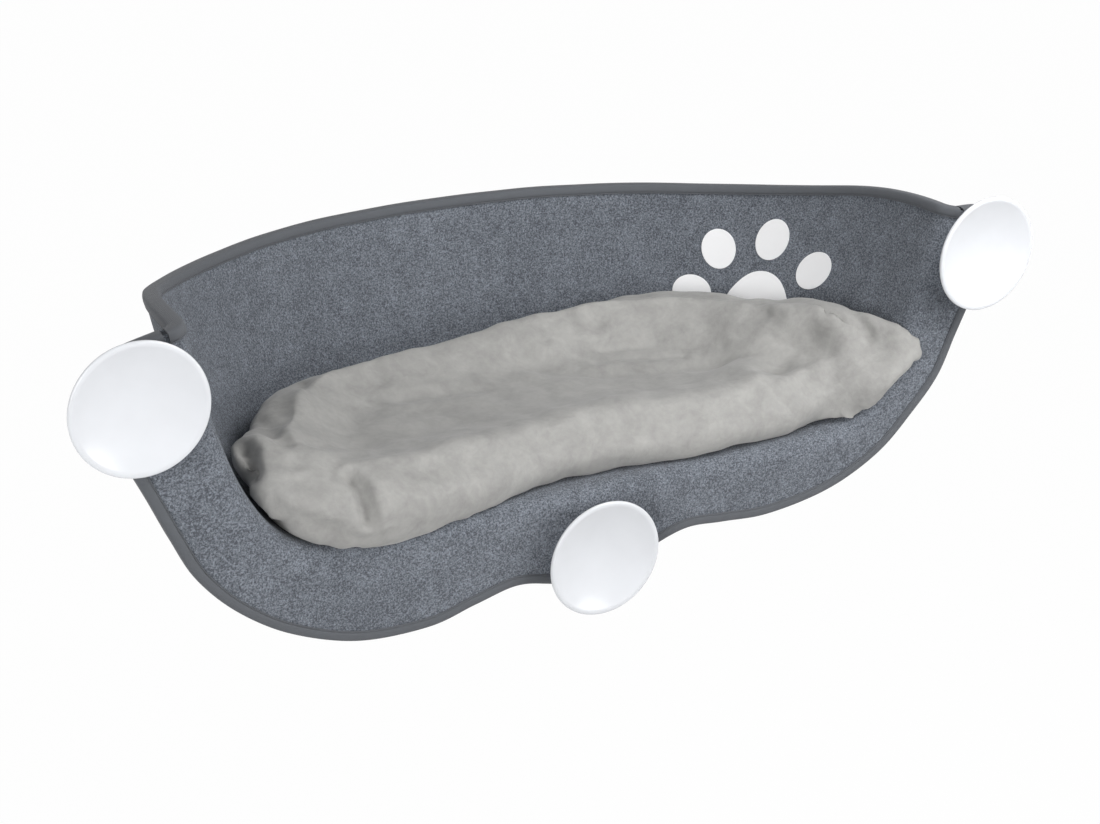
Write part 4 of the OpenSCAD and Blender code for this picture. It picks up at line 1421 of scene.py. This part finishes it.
def patch_material():
    finishes = settings("perch_finish")
    material, tree, shader, place = new_material("white patch", Roughness=0.9, Sheen_Weight=1.0,
                                                 Sheen_Roughness=0.5)
    fibres = use_group(tree, fibre_group(), Vector=place.outputs["Object"], Dark=rgba(finishes.patch, 0.97),
                       Light=rgba(finishes.patch), Contrast=1.0)
    tree.links.new(fibres.outputs["Color"], shader.inputs["Base Color"])
    bump(tree, shader, fibres.outputs["Height"], 0.2, 0.0003)
    return material


def moulded_material(name, base, grain, strength, dark_share, roughness_low, roughness_high, **plain):
    """A moulded or plated material: soft unevenness in colour and gloss, and fine grain."""
    material, tree, shader, place = new_material(name, **plain)
    surface = use_group(tree, moulded_group(), Vector=place.outputs["Object"], Grain=grain)
    shade = mix(tree, surface.outputs["Mask"], rgba(base, dark_share), rgba(base))
    tree.links.new(shade, shader.inputs["Base Color"])
    rough = stretch(tree, surface.outputs["Mask"], 0, 1, roughness_low, roughness_high)
    tree.links.new(rough, shader.inputs["Roughness"])
    bump(tree, shader, surface.outputs["Height"], strength, 0.0001)
    return material


def vinyl_material():
    return moulded_material("soft white vinyl", settings("perch_finish").cup, 60.0, 0.04, 0.97, 0.2, 0.26,
                            Coat_Weight=0.3, Coat_Roughness=0.12)


def zinc_material():
    return moulded_material("zinc plate", settings("perch_finish").metal, 900.0, 0.15, 0.85, 0.28, 0.4,
                            Metallic=1.0)


def plastic_material():
    return moulded_material("grained plastic", settings("perch_finish").knob, 1800.0, 0.5, 0.8, 0.5, 0.62)


class PERCH_OT_frame_finish(bpy.types.Operator):
    """Gives the solids that stay in view their own materials"""
    bl_idname = "perch.frame_finish"
    bl_label = "Finish of the frame's solids"

    def execute(self, context):
        finishes = settings("perch_finish")
        foam, tree, shader, place = new_material("moulded foam", Roughness=0.9)
        cells = speckle(tree, place.outputs["Object"], 0.0012, 3, 0.6)
        shade = mix(tree, cells, rgba(finishes.foam), rgba(finishes.foam, 1.4))
        tree.links.new(shade, shader.inputs["Base Color"])
        bump(tree, shader, cells, 0.5, 0.0004)
        board, tree, shader, place = new_material("hardboard", Roughness=0.7)
        fibres = use_group(tree, fibre_group(), Vector=place.outputs["Object"],
                           Dark=rgba(finishes.board, 0.7), Light=rgba(finishes.board), Contrast=1.2)
        tree.links.new(fibres.outputs["Color"], shader.inputs["Base Color"])
        bump(tree, shader, fibres.outputs["Height"], 0.3, 0.0003)
        zinc = zinc_material()
        chosen = {"shell_core": foam, "base_board": board}
        chosen.update({side + "_stud": zinc for side in FIXINGS})
        for node, material in chosen.items():
            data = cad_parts[node].data
            data.materials.clear()
            data.materials.append(material)
        return {"FINISHED"}


# Studio

CAMERA_PLACE = Vector((-0.55673, -0.93158, 0.40826))
CAMERA_YAW = 0.504288
CAMERA_DOWN = 0.406793
CAMERA_ROLL = 0.012401
CAMERA_FOCAL_PIXELS = 1900
IMAGE_WIDTH = 1100
SENSOR_WIDTH = 36
CAMERA_FAR = 100
FLOOR_HEIGHT = -0.62
FLOOR_SIZE = 60
FLOOR_COLOUR = (0.9, 0.9, 0.9, 1)
FLOOR_GLOW_SHARE = 0.985
AIR_COLOUR = (0.96, 0.98, 1.0, 1)
AIR_STRENGTH = 0.1
WHITE = (1, 1, 1, 1)
# Lamps: name, place, the place it faces, diameter and power
LAMPS = (
    ("left_lamp", (-1.05, -0.78, 0.24), (0, 0.1, -0.05), 0.9, 10.4),
    ("right_lamp", (0.88, -0.95, 0.24), (0, 0.1, -0.05), 0.9, 7.2),
    ("top_lamp", (0.35, -0.3, 0.6), (0.05, 0.15, -0.05), 0.5, 5.3))


def camera_turn():
    """Rotation of the camera from its yaw, downward pitch and roll."""
    ahead = Vector((math.sin(CAMERA_YAW) * math.cos(CAMERA_DOWN),
                    math.cos(CAMERA_YAW) * math.cos(CAMERA_DOWN), -math.sin(CAMERA_DOWN)))
    level = Vector((math.cos(CAMERA_YAW), -math.sin(CAMERA_YAW), 0))
    upright = level.cross(ahead)
    right = math.cos(CAMERA_ROLL) * level + math.sin(CAMERA_ROLL) * upright
    up = -math.sin(CAMERA_ROLL) * level + math.cos(CAMERA_ROLL) * upright
    return Matrix((right, up, -ahead)).transposed()


def area_light(name, place, target, size, power):
    deselect()
    bpy.ops.object.light_add(type="AREA", location=place)
    lamp = bpy.context.object
    lamp.name = name
    lamp.data.shape = "DISK"
    lamp.data.size = size
    lamp.data.energy = power
    lamp.rotation_euler = (Vector(target) - Vector(place)).to_track_quat("-Z", "Y").to_euler()
    return lamp


def seen_rays(tree):
    """One where a ray comes from the camera, from gloss or through glass."""
    rays = tree.nodes.new("ShaderNodeLightPath")
    seen = maths(tree, "MAXIMUM", rays.outputs["Is Camera Ray"], rays.outputs["Is Glossy Ray"])
    return maths(tree, "MAXIMUM", seen, rays.outputs["Is Transmission Ray"])


class PERCH_OT_studio(bpy.types.Operator):
    """Sets up the camera, the pale floor, the lamps and the world"""
    bl_idname = "perch.studio"
    bl_label = "Studio"

    def execute(self, context):
        scene = context.scene
        deselect()
        bpy.ops.object.camera_add(location=CAMERA_PLACE, rotation=camera_turn().to_euler())
        camera = context.object
        camera.data.sensor_width = SENSOR_WIDTH
        camera.data.lens = CAMERA_FOCAL_PIXELS / IMAGE_WIDTH * SENSOR_WIDTH
        camera.data.clip_end = CAMERA_FAR
        scene.camera = camera
        deselect()
        bpy.ops.mesh.primitive_plane_add(size=FLOOR_SIZE, location=(0, 0, FLOOR_HEIGHT))
        floor = named(context.object, "studio_floor")
        bpy.ops.object.transform_apply(location=True, rotation=True, scale=True)
        material, tree, shader, _ = new_material("pale floor", Roughness=0.9, Base_Color=FLOOR_COLOUR)
        glow = add(tree, "ShaderNodeEmission", {"Color": WHITE, "Strength": 1.0})
        share = maths(tree, "MULTIPLY", seen_rays(tree), FLOOR_GLOW_SHARE)
        blend = add(tree, "ShaderNodeMixShader", {0: share, 1: shader.outputs[0], 2: glow.outputs[0]})
        tree.links.new(blend.outputs[0], tree.nodes["Material Output"].inputs["Surface"])
        floor.data.materials.append(material)
        world = bpy.data.worlds.new("studio air")
        world.use_nodes = True
        scene.world = world
        tree = world.node_tree
        air = tree.nodes["Background"]
        air.inputs["Color"].default_value = AIR_COLOUR
        air.inputs["Strength"].default_value = AIR_STRENGTH
        white = add(tree, "ShaderNodeBackground", {"Color": WHITE, "Strength": 1.0})
        seen = seen_rays(tree)
        blend = add(tree, "ShaderNodeMixShader", {0: seen, 1: air.outputs[0], 2: white.outputs[0]})
        tree.links.new(blend.outputs[0], tree.nodes["World Output"].inputs["Surface"])
        for name, place, target, size, power in LAMPS:
            area_light(name, place, target, size, power)
        scene.view_settings.view_transform = "Standard"
        return {"FINISHED"}


class PERCH_PT_panel(bpy.types.Panel):
    """Lists the steps and the sizes"""
    bl_idname = "PERCH_PT_panel"
    bl_label = "Window Cat Perch"
    bl_space_type = "VIEW_3D"
    bl_region_type = "UI"
    bl_category = "Perch"

    def draw(self, context):
        for step in STEPS:
            self.layout.operator(step.bl_idname)
        for name, kind in SETTINGS.items():
            box = self.layout.box()
            box.label(text=kind.__doc__)
            for key in kind.__annotations__:
                box.prop(getattr(context.scene, name), key)


STEPS = (PERCH_OT_studio, PERCH_OT_shell, PERCH_OT_tape, PERCH_OT_paw, PERCH_OT_pad, PERCH_OT_cups,
         PERCH_OT_metal, PERCH_OT_knobs, PERCH_OT_frame_finish)
CLASSES = tuple(SETTINGS.values()) + STEPS + (PERCH_PT_panel,)


def register():
    for kind in CLASSES:
        bpy.utils.register_class(kind)
    for name, kind in SETTINGS.items():
        setattr(bpy.types.Scene, name, bpy.props.PointerProperty(type=kind))


def unregister():
    for name in SETTINGS:
        delattr(bpy.types.Scene, name)
    for kind in reversed(CLASSES):
        bpy.utils.unregister_class(kind)


def main():
    register()
    bpy.ops.perch.studio()
    bpy.ops.perch.shell()
    bpy.ops.perch.tape()
    bpy.ops.perch.paw()
    bpy.ops.perch.pad()
    bpy.ops.perch.cups()
    bpy.ops.perch.metal()
    bpy.ops.perch.knobs()
    bpy.ops.perch.frame_finish()


if __name__ == "__main__":
    main()
